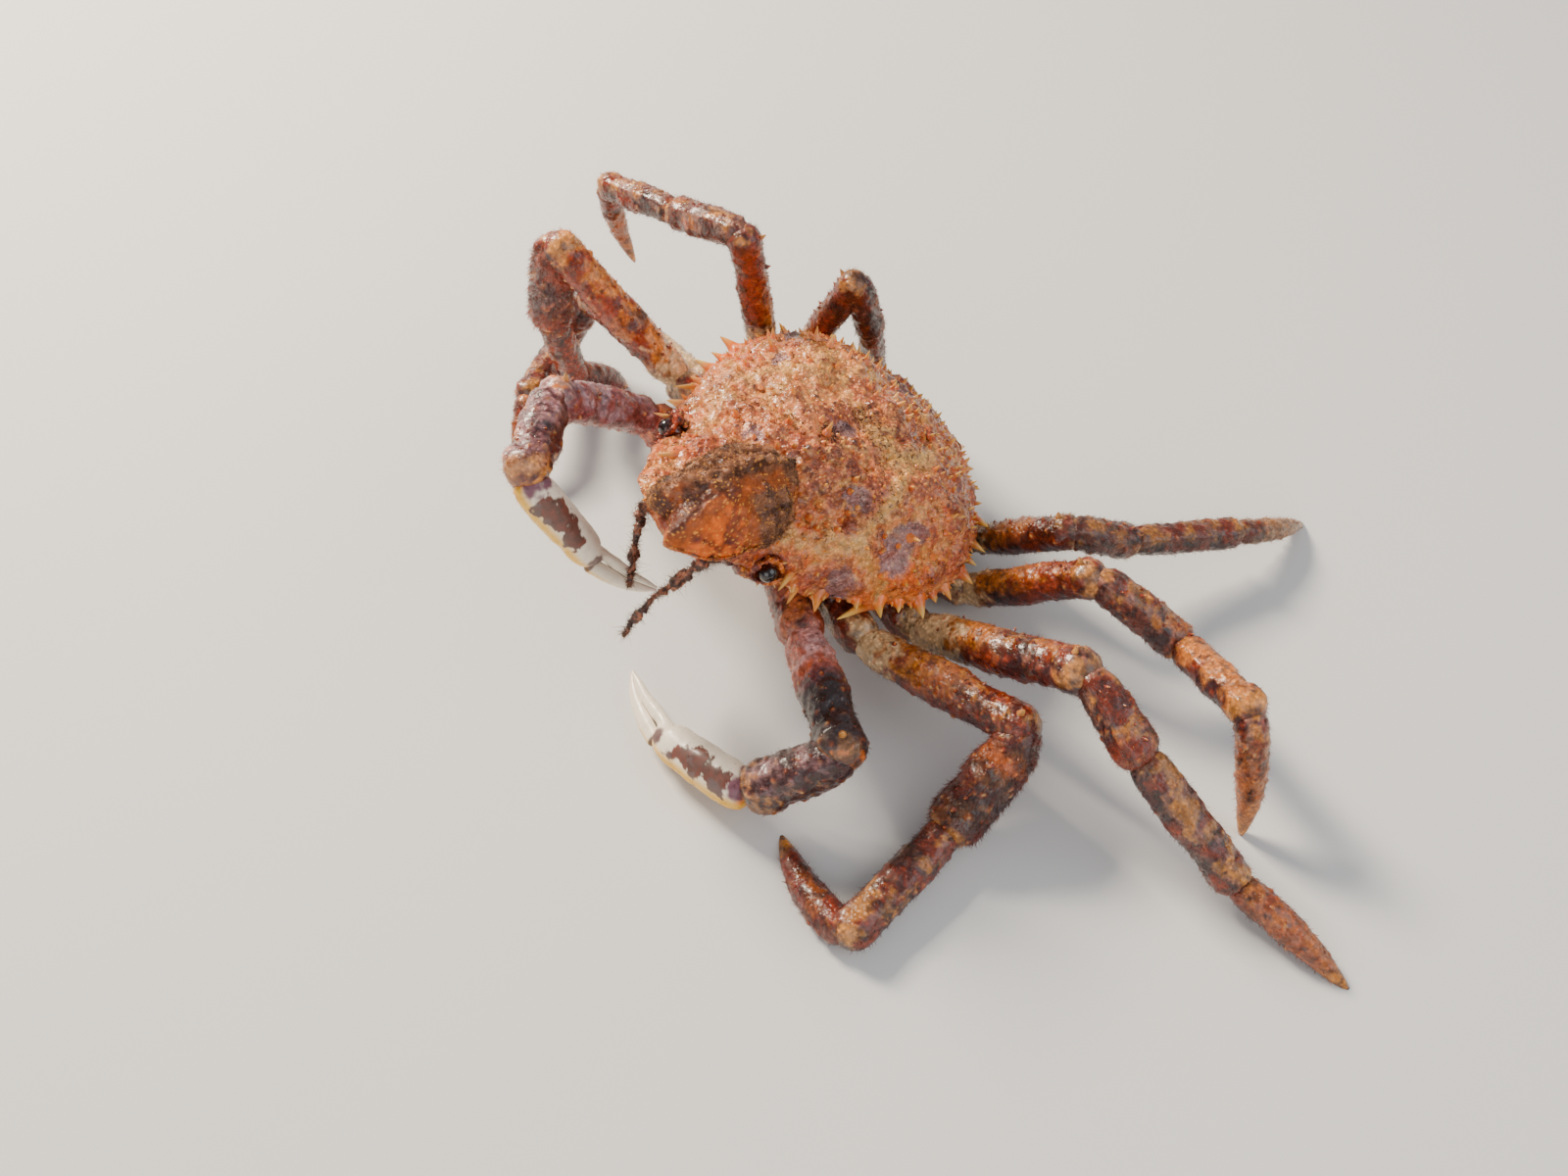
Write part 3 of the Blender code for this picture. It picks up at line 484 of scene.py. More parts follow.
def thorns(roots, ways, lengths, radii, base, tip, bend=None, sides=9):
    """Closed, slightly hooked spikes with a flared foot."""
    count = len(roots)
    side = unit(np.cross(ways, np.array((0.31, 0.54, 0.78))))
    other = np.cross(ways, side)
    angle = np.arange(sides) * 2 * math.pi / sides
    rings = []
    tints = []
    for t, width in SPIKE_SHAPE:
        centre = roots + ways * (lengths * t)[:, None]
        if bend is not None:
            centre = centre + bend * (lengths * 0.22 * max(t, 0) ** 2)[:, None]
        ring = side[:, None] * np.cos(angle)[:, None] + other[:, None] * np.sin(angle)[:, None]
        rings.append(centre[:, None] + ring * (radii * width)[:, None, None])
        shade = mix(np.broadcast_to(base, roots.shape), tip, ramp(t, 0.15, 0.75))
        tints.append(np.broadcast_to(shade[:, None], (count, sides, 3)))
    points = np.stack(rings, 1).reshape(-1, 3)
    colours = np.stack(tints, 1).reshape(-1, 3)
    rows = len(SPIKE_SHAPE)
    ring = np.arange(sides)
    following = (ring + 1) % sides
    start = np.arange(rows - 1)[:, None] * sides
    quads = np.stack([start + ring, start + following, start + sides + following, start + sides + ring], -1)
    offset = (np.arange(count) * rows * sides)[:, None, None]
    return points, colours, (quads.reshape(1, -1, 4) + offset).reshape(-1, 4)


def bristles(surface, roots, ways, lengths, radius, colours, places, rng, droop=0.35):
    """Thin three-sided hairs, each closed at its foot; places are their roots on the skin's unwrap."""
    count = len(roots)
    if not count:
        return
    side = unit(np.cross(ways, unit(rng.normal(size=(count, 3)))))
    other = np.cross(ways, side)
    lean = unit(side * rng.normal(size=(count, 1)) + other * rng.normal(size=(count, 1)))
    angle = np.arange(3) * 2 * math.pi / 3
    ring = side[:, None] * np.cos(angle)[:, None] + other[:, None] * np.sin(angle)[:, None]
    middle = roots + ways * (lengths * 0.55)[:, None] + lean * (lengths * droop * 0.3)[:, None]
    tip = roots + ways * lengths[:, None] + lean * (lengths * droop)[:, None]
    foot = roots - ways * 0.15
    points = np.concatenate([foot[:, None] + ring * radius, middle[:, None] + ring * radius * 0.7,
                             tip[:, None]], 1)
    tris = (HAIR_FACES[None] + (np.arange(count) * 7)[:, None, None]).reshape(-1, 3)
    uv = (places[:, None] + HAIR_UNWRAP[None]).reshape(-1, 2)
    surface.add(points.reshape(-1, 3), np.repeat(colours, 7, axis=0), tris=tris, places=uv)


def scatter_on(grid, normals, colours, count, rng, weights=None):
    """Random places on a grid: points, normals, colours and the place on the grid's unwrap."""
    rows, columns = grid.shape[:2]
    if weights is None:
        picks = rng.integers(0, (rows - 1) * columns, count)
    else:
        share = weights[:-1].ravel()
        picks = rng.choice((rows - 1) * columns, count, p=share / share.sum())
    i, j = picks // columns, picks % columns
    a, b = rng.random((2, count))
    following = (j + 1) % columns
    points = (grid[i, j] * ((1 - a) * (1 - b))[:, None] + grid[i + 1, j] * (a * (1 - b))[:, None]
              + grid[i, following] * ((1 - a) * b)[:, None] + grid[i + 1, following] * (a * b)[:, None])
    return points, normals[i, j], colours[i, j], np.stack([(i + a) / rows, (j + b) / columns], -1)


# Materials

def shell_material(name, roughness, coat, grain, pits, relief, mottle=0.22, inner=0.0, beads=0.0,
                   bead_scale=1000):
    """Damp shell: painted markings under finer mottling, specks, pores, beads with painted shade between them
    and a painted highlight on their tops, and uneven wetness.
    """
    material = bpy.data.materials.new(name)
    material.use_nodes = True
    nodes, links = material.node_tree.nodes, material.node_tree.links
    shader = nodes["Principled BSDF"]
    place = nodes.new("ShaderNodeTexCoord")

    def texture(kind, scale, **inputs):
        node = nodes.new(kind)
        links.new(place.outputs["Object"], node.inputs["Vector"])
        node.inputs["Scale"].default_value = scale
        for key, value in inputs.items():
            node.inputs[key].default_value = value
        return node

    def remap(socket, low, high, new_low, new_high):
        node = nodes.new("ShaderNodeMapRange")
        links.new(socket, node.inputs["Value"])
        for key, value in (("From Min", low), ("From Max", high), ("To Min", new_low), ("To Max", new_high)):
            node.inputs[key].default_value = value
        return node.outputs["Result"]

    def blend(kind, factor, first, second):
        node = nodes.new("ShaderNodeMix")
        node.data_type = "RGBA"
        node.blend_type = kind
        links.new(first, node.inputs["A"])
        if isinstance(factor, float):
            node.inputs["Factor"].default_value = factor
        else:
            links.new(factor, node.inputs["Factor"])
        if isinstance(second, tuple):
            node.inputs["B"].default_value = second
        else:
            links.new(second, node.inputs["B"])
        return node.outputs["Result"]

    tint = nodes.new("ShaderNodeAttribute")
    tint.attribute_name = "tint"
    mottling = texture("ShaderNodeTexNoise", grain, Detail=5.0, Roughness=0.65)
    speck = texture("ShaderNodeTexNoise", grain * 3.1, Detail=3.0, Roughness=0.6)
    pore = texture("ShaderNodeTexVoronoi", pits)
    lightness = remap(mottling.outputs["Fac"], 0.32, 0.68, 1 - mottle, 1 + mottle)
    grey = nodes.new("ShaderNodeCombineColor")
    for key in ("Red", "Green", "Blue"):
        links.new(lightness, grey.inputs[key])
    colour = blend("MULTIPLY", 1.0, tint.outputs["Color"], grey.outputs["Color"])
    bead = texture("ShaderNodeTexVoronoi", bead_scale)
    rise = remap(bead.outputs["Distance"], 0.12, 0.55, 1.0, 0.0)
    # Painted shade between the beads and a painted highlight on their tops, following the beads' height
    if beads:
        shade = nodes.new("ShaderNodeCombineColor")
        for key in ("Red", "Green", "Blue"):
            links.new(remap(rise, 0.0, 1.0, 1 - 0.55 * beads, 1 + 0.25 * beads), shade.inputs[key])
        colour = blend("MULTIPLY", 1.0, colour, shade.outputs["Color"])
    colour = blend("MIX", remap(speck.outputs["Fac"], 0.62, 0.74, 0.0, 0.35), colour, (*DARK_PIT, 1))
    colour = blend("MIX", remap(pore.outputs["Distance"], 0.0, 0.16, 0.4, 0.0), colour, (*DARK_PIT, 1))
    links.new(colour, shader.inputs["Base Color"])
    wet = texture("ShaderNodeTexNoise", grain * 0.45, Detail=2.0)
    wetness = remap(wet.outputs["Fac"], 0.35, 0.65, roughness * 0.6, roughness * 1.35)
    links.new(wetness, shader.inputs["Roughness"])
    fine = nodes.new("ShaderNodeBump")
    fine.inputs["Strength"].default_value = relief
    fine.inputs["Distance"].default_value = 0.00035
    links.new(mottling.outputs["Fac"], fine.inputs["Height"])
    dents = nodes.new("ShaderNodeBump")
    dents.inputs["Strength"].default_value = relief * 0.8
    dents.inputs["Distance"].default_value = 0.0002
    links.new(remap(pore.outputs["Distance"], 0.0, 0.4, 0.0, 1.0), dents.inputs["Height"])
    links.new(fine.outputs["Normal"], dents.inputs["Normal"])
    lumps = nodes.new("ShaderNodeBump")
    lumps.inputs["Strength"].default_value = beads
    lumps.inputs["Distance"].default_value = 0.00025
    links.new(rise, lumps.inputs["Height"])
    links.new(dents.outputs["Normal"], lumps.inputs["Normal"])
    links.new(lumps.outputs["Normal"], shader.inputs["Normal"])
    shader.inputs["Coat Weight"].default_value = coat
    shader.inputs["Coat Roughness"].default_value = 0.12
    shader.inputs["Specular IOR Level"].default_value = 0.5
    if inner:
        shader.inputs["Subsurface Weight"].default_value = inner
        shader.inputs["Subsurface Radius"].default_value = (1.0, 0.45, 0.2)
        shader.inputs["Subsurface Scale"].default_value = 0.0015
    return material


SHELL = shell_material("shell", 0.38, 0.3, 700, 1300, 0.45, mottle=0.42, beads=0.6, bead_scale=1500)
LEG_SHELL = shell_material("leg_shell", 0.33, 0.3, 800, 1100, 0.5, mottle=0.4, beads=0.6, bead_scale=1100)
CLAW_SHELL = shell_material("claw_shell", 0.36, 0.12, 500, 700, 0.08, mottle=0.05)
SPINE_HORN = shell_material("spine_horn", 0.32, 0.4, 700, 2500, 0.2, mottle=0.15, inner=0.1)
BRISTLE = shell_material("bristle", 0.5, 0.1, 600, 1500, 0.1, mottle=0.3)
SPONGE = shell_material("sponge", 0.62, 0.0, 500, 900, 0.35, mottle=0.35, inner=0.1, beads=0.35,
                        bead_scale=1300)
FUZZ = shell_material("fuzz", 0.6, 0.0, 600, 1500, 0.1, mottle=0.35)
FEELER = shell_material("feeler", 0.45, 0.3, 1200, 1500, 0.7, mottle=0.45)
EYE = shell_material("eye", 0.14, 0.5, 400, 5000, 0.02, mottle=0.25)


# Carapace

def dome_height(x, y):
    width = np.maximum(along(HALF_WIDTH, y), 0.01)
    margin = along(MARGIN_HEIGHT, y)
    across = np.minimum(np.abs(x) / width, 1)
    arch = (1 - across ** DOME_FLATNESS) ** DOME_EDGE
    relief = 0
    for cx, cy, radius, rise in REGIONS:
        for side in ((1, -1) if cx else (1,)):
            relief = relief + rise * np.exp(-((x - side * cx) ** 2 + (y - cy) ** 2) / radius ** 2)
    return margin + (along(CREST_HEIGHT, y) - margin + relief) * arch


def dome_normal(x, y):
    step = 0.5
    lean_x = dome_height(x - step, y) - dome_height(x + step, y)
    lean_y = dome_height(x, y - step) - dome_height(x, y + step)
    return unit(np.stack([lean_x, lean_y, np.full_like(lean_x, 2 * step)], -1))


def shell_colours(place, rim):
    """Markings of the back at body places, with the masks of its smooth patches; rim is 1 at the margin."""
    x, y = place[:, 0], place[:, 1]
    patch = rough(place, 5, 3, 3)
    fine = rough(place, 1.7, 3, 23)
    wander = 0.7 * np.stack([patch, fine, patch], -1)
    cream_line = np.zeros(len(place))
    for line in CREAM_LINES:
        for side in (1, -1):
            near = bump(line_distance(place * (side, 1, 1) + wander, line), 1.8)
            cream_line = np.maximum(cream_line, near * (1 if side == 1 else 0.6))
    colour = mix(PINK_TAN, CREAM, ramp(patch + 0.5 * fine, 0.0, 0.9) * 0.8)
    centre_left = bump(x + 2, 11, y + 12, 9)
    colour = mix(colour, ink(206, 156, 140), centre_left * ramp(fine, -0.6, 0.4) * 0.5)
    colour = mix(colour, ink(216, 128, 62), ramp(noise(place, 7, 90) + 0.4 * fine, 0.2, 0.7) * 0.6)
    colour = mix(colour, CREAM, np.clip(0.9 * cream_line + blobs(place + wander, CREAM_PATCHES), 0, 1) * 0.75)
    red = ramp(fine + 0.5 * noise(place, 6, 8) + 0.02 * x, 0.0, 0.5)
    colour = mix(colour, ink(156, 84, 48), red * 0.8 * (1 - 0.7 * cream_line))
    colour = mix(colour, ink(116, 46, 28), blobs(place, RED_PATCHES) * ramp(fine, -0.6, 0.3) * 0.75)
    front = ramp(y, -14, -34)
    colour = mix(colour, ink(204, 118, 50), np.clip(front * 0.45 + rim * 0.4, 0, 0.75) * ramp(fine, -0.6, 0.5))
    brow = bump(np.abs(x) - 18, 5, y + 28, 6)
    colour = mix(colour, ink(228, 132, 50), brow * ramp(fine, -0.8, 0.4) * 0.7)
    hot = bump(np.abs(x) - 30.5, 4.5, y + 6, 7.5)
    colour = mix(colour, HOT_ORANGE, np.clip(hot * 1.3, 0, 1) * ramp(fine, -0.9, 0.3) * 0.85)
    purple = ramp(blobs(place + wander, PURPLE_PATCHES) + 0.1 * fine, 0.3, 0.46)
    return colour, purple, cream_line


def front_relief(place):
    """Lift of the wall under the rostrum: feeler bases, keel, pits of the small feelers, mouth's frame; and a
    mask of its pits and grooves, which are darkened as painted shade.
    """
    x, y = np.abs(place[:, 0]), place[:, 1]
    lane = x - 10.5 - 0.42 * (y + 38)
    article = bump(lane, 2.3) * ramp(y, -25, -29) * ramp(y, -46, -42)
    article *= 1 - 0.9 * bump(y + 38.5 - 0.2 * x, 0.7)
    pit = bump(x - 3.7, 1.9, y + 40.5, 3.6)
    keel = bump(x, 1.0) * ramp(y, -34, -37)
    frame_edge = bump(y + 33.5 - 0.035 * x ** 2, 0.8) * ramp(x, 13, 10)
    groove = bump(y + 31.6 - 0.035 * x ** 2, 0.8) * ramp(x, 13, 10)
    side_groove = bump(lane - 3.3, 0.7) * ramp(y, -22, -28)
    lift = 1.3 * article - 1.7 * pit + 0.8 * keel + 0.7 * frame_edge - 0.9 * groove - 0.7 * side_groove
    return lift, np.clip(pit + groove + side_groove, 0, 1)


def make_carapace():
    columns = int(760 * DETAIL)
    top, wall, under = int(190 * DETAIL), int(44 * DETAIL), int(36 * DETAIL)
    angle = np.arange(columns) * 2 * math.pi / columns
    edge_y = (FRONT_Y + REAR_Y) / 2 + np.sin(angle) * (REAR_Y - FRONT_Y) / 2
    edge = np.stack([np.copysign(along(HALF_WIDTH, edge_y), np.cos(angle)), edge_y], -1)
    reach = [np.linspace(0.004, 1, top)]
    drop = [np.zeros(top)]
    share = np.linspace(0, 1, wall + 1)[1:]
    reach.append(1 - UNDER_INSET * share)
    drop.append(share)
    share = np.linspace(0, 1, under + 1)[1:]
    reach.append((1 - UNDER_INSET) * (1 - 0.99 * share))
    drop.append(np.ones(under))
    reach, drop = np.concatenate(reach), np.concatenate(drop)
    flat = SHELL_CENTRE + reach[:, None, None] * (edge[None] - SHELL_CENTRE)
    x, y = flat[..., 0], flat[..., 1]
    height = dome_height(x, y)
    margin = along(MARGIN_HEIGHT, edge_y)[None]
    below = margin + (along(UNDER_HEIGHT, y) - margin) * ramp(drop, 0, 1)[:, None]
    z = np.where(drop[:, None] > 0, below, height)
    grid = np.stack([x, y, z], -1)
    normal = normals_of(grid)
    normal[0] = (0, 0, 1)
    place = grid.reshape(-1, 3)
    outward = normal.reshape(-1, 3)
    rim = np.repeat(ramp(reach, 0.86, 1.0) * np.where(drop > 0, 1 - 0.6 * drop, 1), columns)
    upper = np.repeat(np.where(drop > 0, ramp(drop, 1, 0.2), 1.0), columns)
    colour, purple, cream_line = shell_colours(place, rim)

    smooth = np.clip(purple * 0.75 + cream_line * 0.5, 0, 0.9)
    fine = rough(place, 0.9, 2, 80)
    grain, owner = cells(place, 1.9, 11)
    granule = ramp(grain, 0.34, 0.08) * (owner > 0.35) * (1 - smooth)
    small, small_owner = cells(place, 0.85, 31)
    bead = ramp(small, 0.5, 0.16)
    fleck_grain, fleck_owner = cells(place * (1, 1.5, 1) + 0.5 * fine[:, None], 2.3, 51)
    fleck = ramp(fleck_grain + 0.12 * fine, 0.26, 0.14) * (fleck_owner > 0.42) * upper * (1 - 0.7 * purple)
    lift = granule * 0.5 * (0.4 + 0.9 * owner) + bead * 0.11 * (1 - 0.5 * smooth)
    hills = rough(place, 4.4, 3, 70)
    lift += hills * 0.85 - fleck * 0.25 - cream_line * 0.45 + 0.2 * purple
    lift += (1 - upper) * (bead * 0.2 + granule * 0.2)
    face, pit = front_relief(place)
    lift += face * (1 - upper)
    colour = mix(colour, PURPLE_GREY * (1 + 0.3 * fine)[:, None], purple * 0.9)
    # Painted shade in the troughs of the rolling relief, and a painted highlight on its crests
    colour = mix(colour, mix(ink(112, 54, 34), colour * 0.5, 0.5), ramp(hills, 0.0, -0.6) * 0.7)
    colour = mix(colour, mix(colour, CREAM, 0.6), ramp(hills, 0.1, 0.8) * 0.6 * (1 - purple))
    # Painted shade in the crevices between the beads
    colour = mix(colour, colour * ink(176, 144, 126), (1 - bead) * (0.85 - 0.5 * smooth))
    shade = ramp(rough(place, 2.6, 3, 75), 0.15, 0.6) * (1 - 0.5 * purple) * (1 - 0.6 * cream_line)
    colour = mix(colour, ink(126, 68, 46) * (0.7 + 0.5 * owner)[:, None], shade * 0.55)
    shine = ramp(small, 0.24, 0.08) * (0.1 + 0.6 * (small_owner > 0.75)) * (1 - 0.4 * smooth)
    colour = mix(colour, ink(238, 160, 110), shine)
    knob = mix(mix(colour * 0.7, ink(200, 84, 40), 0.6), SPINE_TIP * 0.8, ramp(grain, 0.2, 0.04))
    colour = mix(colour, knob, granule * (0.35 + 0.5 * (owner > 0.7)))
    colour = mix(colour, ink(70, 32, 20), fleck * 0.8)
    lit = ramp(small, 0.4, 0.1) * ramp(fine + rough(place, 6, 2, 95), -0.4, 0.8)
    wall_lit_and_shaded = mix(ink(104, 48, 22), ink(206, 116, 44), lit)
    # Painted shade in the pits and grooves of the wall
    wall_lit_and_shaded = mix(wall_lit_and_shaded, ink(40, 18, 12), pit * 0.85)
    # Painted shade: the wall and under side, lying under the shell's margin, are darkened to half
    colour = mix(colour, wall_lit_and_shaded * 0.5, (1 - upper) * 0.95)
    colour = colour * BACK_GAIN
    place = place + outward * lift[:, None]
    for side in (1, -1):
        away = place - EYE_CENTRE * (side, 1, 1)
        distance = np.linalg.norm(away, axis=1)
        inside = distance < ORBIT_RADIUS
        place[inside] = (EYE_CENTRE * (side, 1, 1)
                         + away / np.maximum(distance, 1e-6)[:, None] * ORBIT_RADIUS)[inside]
        cup = ramp(distance, ORBIT_RADIUS + 0.9, ORBIT_RADIUS)
        colour = mix(colour, ink(150, 66, 24) if side == 1 else ink(110, 52, 34), cup * 0.85)
    world = in_world(place)
    surface = Surface()
    world_grid = world.reshape(grid.shape)
    colour_grid = colour.reshape(grid.shape)
    surface.add_grid(world_grid, colour_grid, turned=True)
    surface.make("skin_carapace", SHELL, "carapace_shell", ["carapace"])
    return world_grid, (outward @ AXES.T).reshape(grid.shape), colour_grid, upper.reshape(grid.shape[:2])


def make_spines():
    """Every spine of the shell: the solids' own, smaller ones between them, and spinules on the back."""
    rng = np.random.default_rng(4)
    roots, ways, lengths, radii = [], [], [], []

    def margin_spine(side, y, length, radius, tilt=0.12):
        width, ahead, behind = along(HALF_WIDTH, np.array([y, y - 1, y + 1]))
        roots.append((side * (width - 0.2), y, along(MARGIN_HEIGHT, np.array([y]))[0] + 0.4))
        ways.append(unit(np.array((side, -(behind - ahead) / 2 - 0.22, tilt))))
        lengths.append(length)
        radii.append(radius)

    for y, length in MARGIN_SPINES:
        for side in (1, -1):
            margin_spine(side, y, length * (0.72 if y < 10 else 0.85), length / 4.4 + 0.4)
    for root, tip, radius in FRONT_SPINES:
        for side in (1, -1):
            root_here, tip_here = np.array(root) * (side, 1, 1), np.array(tip) * (side, 1, 1)
            roots.append(root_here)
            ways.append(unit(tip_here - root_here))
            lengths.append(float(np.linalg.norm(tip_here - root_here)) * (0.62 if root[1] < -35 else 1))
            radii.append(radius * 0.9)
    for y in np.arange(-21, 40.5, 2.3):
        for side in (1, -1):
            size = rng.uniform(0.7, 1.5)
            margin_spine(side, y + rng.uniform(-0.9, 0.9), size, size * 0.3 + 0.1, rng.uniform(-0.2, 0.9))
    spots = []
    for x, y, length in BACK_SPINES:
        for side in ((1, -1) if x else (1,)):
            spots.append((side * x, y, length * 0.85, length / 6 + 0.28))
    tries = 0
    while len(spots) < SPINULES and tries < MOST_TRIES:
        tries += 1
        x, y = rng.uniform(-33, 33), rng.uniform(-36, 39)
        width = along(HALF_WIDTH, np.array([y]))[0]
        under_growth = math.hypot((x - GROWTH_CENTRE[0]) / 9.5, (y - GROWTH_CENTRE[1]) / 13.5) < 1
        if abs(x) > 0.96 * width or under_growth:
            continue
        density = 0.4 + 0.6 * (y > 12) + 0.5 * (abs(x) > 0.72 * width)
        if rng.random() > density:
            continue
        if rng.random() < 0.8 and blobs(np.array([[x, y]]), PURPLE_PATCHES)[0] > 0.4:
            continue
        if any((x - s[0]) ** 2 + (y - s[1]) ** 2 < SPINULE_SPACING for s in spots):
            continue
        size = rng.uniform(0.6, 1.1) if rng.random() < 0.5 else rng.uniform(1.0, 2.0) * (1.0 if y > 8 else 0.9)
        spots.append((x, y, size, size * 0.26 + 0.2))
    spots = np.array(spots)
    height = dome_height(spots[:, 0], spots[:, 1])
    normal = dome_normal(spots[:, 0], spots[:, 1])
    roots = np.concatenate([np.array(roots), np.c_[spots[:, :2], height]])
    leaning = unit(normal + (0, -0.15, 0.25) + rng.normal(scale=0.12, size=normal.shape))
    ways = np.concatenate([np.array(ways), leaning])
    lengths = np.concatenate([lengths, spots[:, 2]])
    radii = np.concatenate([radii, spots[:, 3]])
    bend = unit(rng.normal(size=roots.shape) * 0.4 + (0, -1, 0.4))
    hot = bump(np.abs(roots[:, 0]) - 31, 6, roots[:, 1] + 5.5, 9)
    local = shell_colours(roots, np.zeros(len(roots)))[0] * BACK_GAIN * 0.8
    base = mix(local * 0.6, ink(214, 112, 30), 0.3 + 0.6 * rng.random(len(roots)))
    base = mix(base, HOT_ORANGE * 1.3, hot * 0.8)
    tip = mix(ink(252, 214, 140), ink(248, 168, 60), rng.random(len(roots)) * 0.8)
    tip = mix(tip, ink(252, 222, 130), np.maximum(ramp(roots[:, 1], 8, 24), hot) * 0.6)
    surface = Surface()
    points, colours, quads = thorns(roots, ways, lengths, radii, base, tip, bend, 10)
    surface.add(in_world(points), colours, quads)
    surface.make("spines_carapace", SPINE_HORN, "carapace_shell")


def make_orbits(coats):
    """Swollen beaded rims round the eyes, with spines; the right one is a dark hairy cup."""
    rng = np.random.default_rng(17)
    for side, rim, thickness, dark, hairs in ORBITS:
        centre, root = to_side(EYE_CENTRE, side), to_side(EYE_STALK_ROOT, side)
        gaze = unit(centre - root)
        first = unit(np.cross(gaze, np.array((0, 0, 1.0))))
        second = np.cross(gaze, first)
        rows, columns = int(170 * DETAIL), int(44 * DETAIL)
        turn = np.linspace(math.radians(-165), math.radians(165), rows)
        ring = first * np.cos(turn)[:, None] + second * np.sin(turn)[:, None]
        route = centre - gaze * 0.1 + ring * (rim + 0.25 * np.sin(3 * turn + dark))[:, None]
        radii = thickness * (0.55 + 0.45 * np.cos(turn / 2)) * (1 + 0.35 * line_noise(turn * 2, 0.8, 4))
        grid, _ = loft(route, radii, gaze, columns)
        normal = normals_of(grid)
        points = grid.reshape(-1, 3)
        grain, owner = cells(points, 0.95, 21)
        bead = ramp(grain, 0.5, 0.14)
        points = points + normal.reshape(-1, 3) * (bead * 0.16 + rough(points, 1.6, 2, 22) * 0.16)[:, None]
        orange = mix(ink(150, 66, 30), ink(244, 150, 46), ramp(rough(points, 1.6, 3, 23), -0.2, 0.5)) * 1.6
        brown = mix(ink(196, 100, 62), ink(118, 56, 40), ramp(rough(points, 1.6, 3, 24), -0.3, 0.5)) * 2.2
        colour = mix(orange, brown, dark)
        outer = ramp((points - centre) @ unit(np.array((to_side((1, 0, 0), side)))), 1.6, 3.2) * dark
        colour = mix(colour, ink(226, 140, 80), outer * 0.8)
        # Painted shade in the crevices between the rim's beads
        colour = mix(colour, colour * 0.5, 1 - bead)
        surface = Surface()
        grid = in_world(points).reshape(grid.shape)
        tints = colour.reshape(grid.shape)
        surface.add_grid(grid, tints)
        spots = np.radians(ORBIT_SPINES)
        outwards = first * np.cos(spots)[:, None] + second * np.sin(spots)[:, None]
        sizes = rng.uniform(1.0, 1.9, len(spots))
        feet = centre - gaze * 0.3 + outwards * (rim + 0.3)
        points, colours, quads = thorns(feet, unit(outwards + gaze * 0.6), sizes, sizes * 0.32,
                                        ink(198, 96, 40), SPINE_TIP)
        surface.add(in_world(points), colours, quads)
        surface.make("orbit_" + side, SHELL, "carapace_shell")
        count = int(hairs * DETAIL)
        outward = (normal @ AXES.T)
        roots, ways, tufts, uv = scatter_on(grid, outward, tints, count, rng)
        lie = unit(ways * 0.6 + gaze @ AXES.T + rng.normal(scale=0.45, size=ways.shape))
        shade = mix(tufts * 0.7, ink(60, 34, 24), 0.45 * dark + 0.2)
        bristles(coats, roots, lie, rng.uniform(0.4, 1.1 + 0.6 * dark, count), 0.045, shade, uv, rng)


# Limbs

def heading(turn, rise):
    turn, rise = math.radians(turn), math.radians(rise)
    return np.array((math.cos(turn) * math.cos(rise), math.sin(turn) * math.cos(rise), math.sin(rise)))


def limb_joints(side, pair):
    joints = [in_world(to_side(HIP_END[side][pair], side))]
    for (turn, rise), length in zip(POSE[(side, pair)], LENGTHS[pair]):
        if rise is FOOT:
            rise = math.degrees(math.asin(max((FOOT_HEIGHT - joints[-1][2]) / length, -1)))
        joints.append(joints[-1] + heading(turn, rise) * length)
    return joints


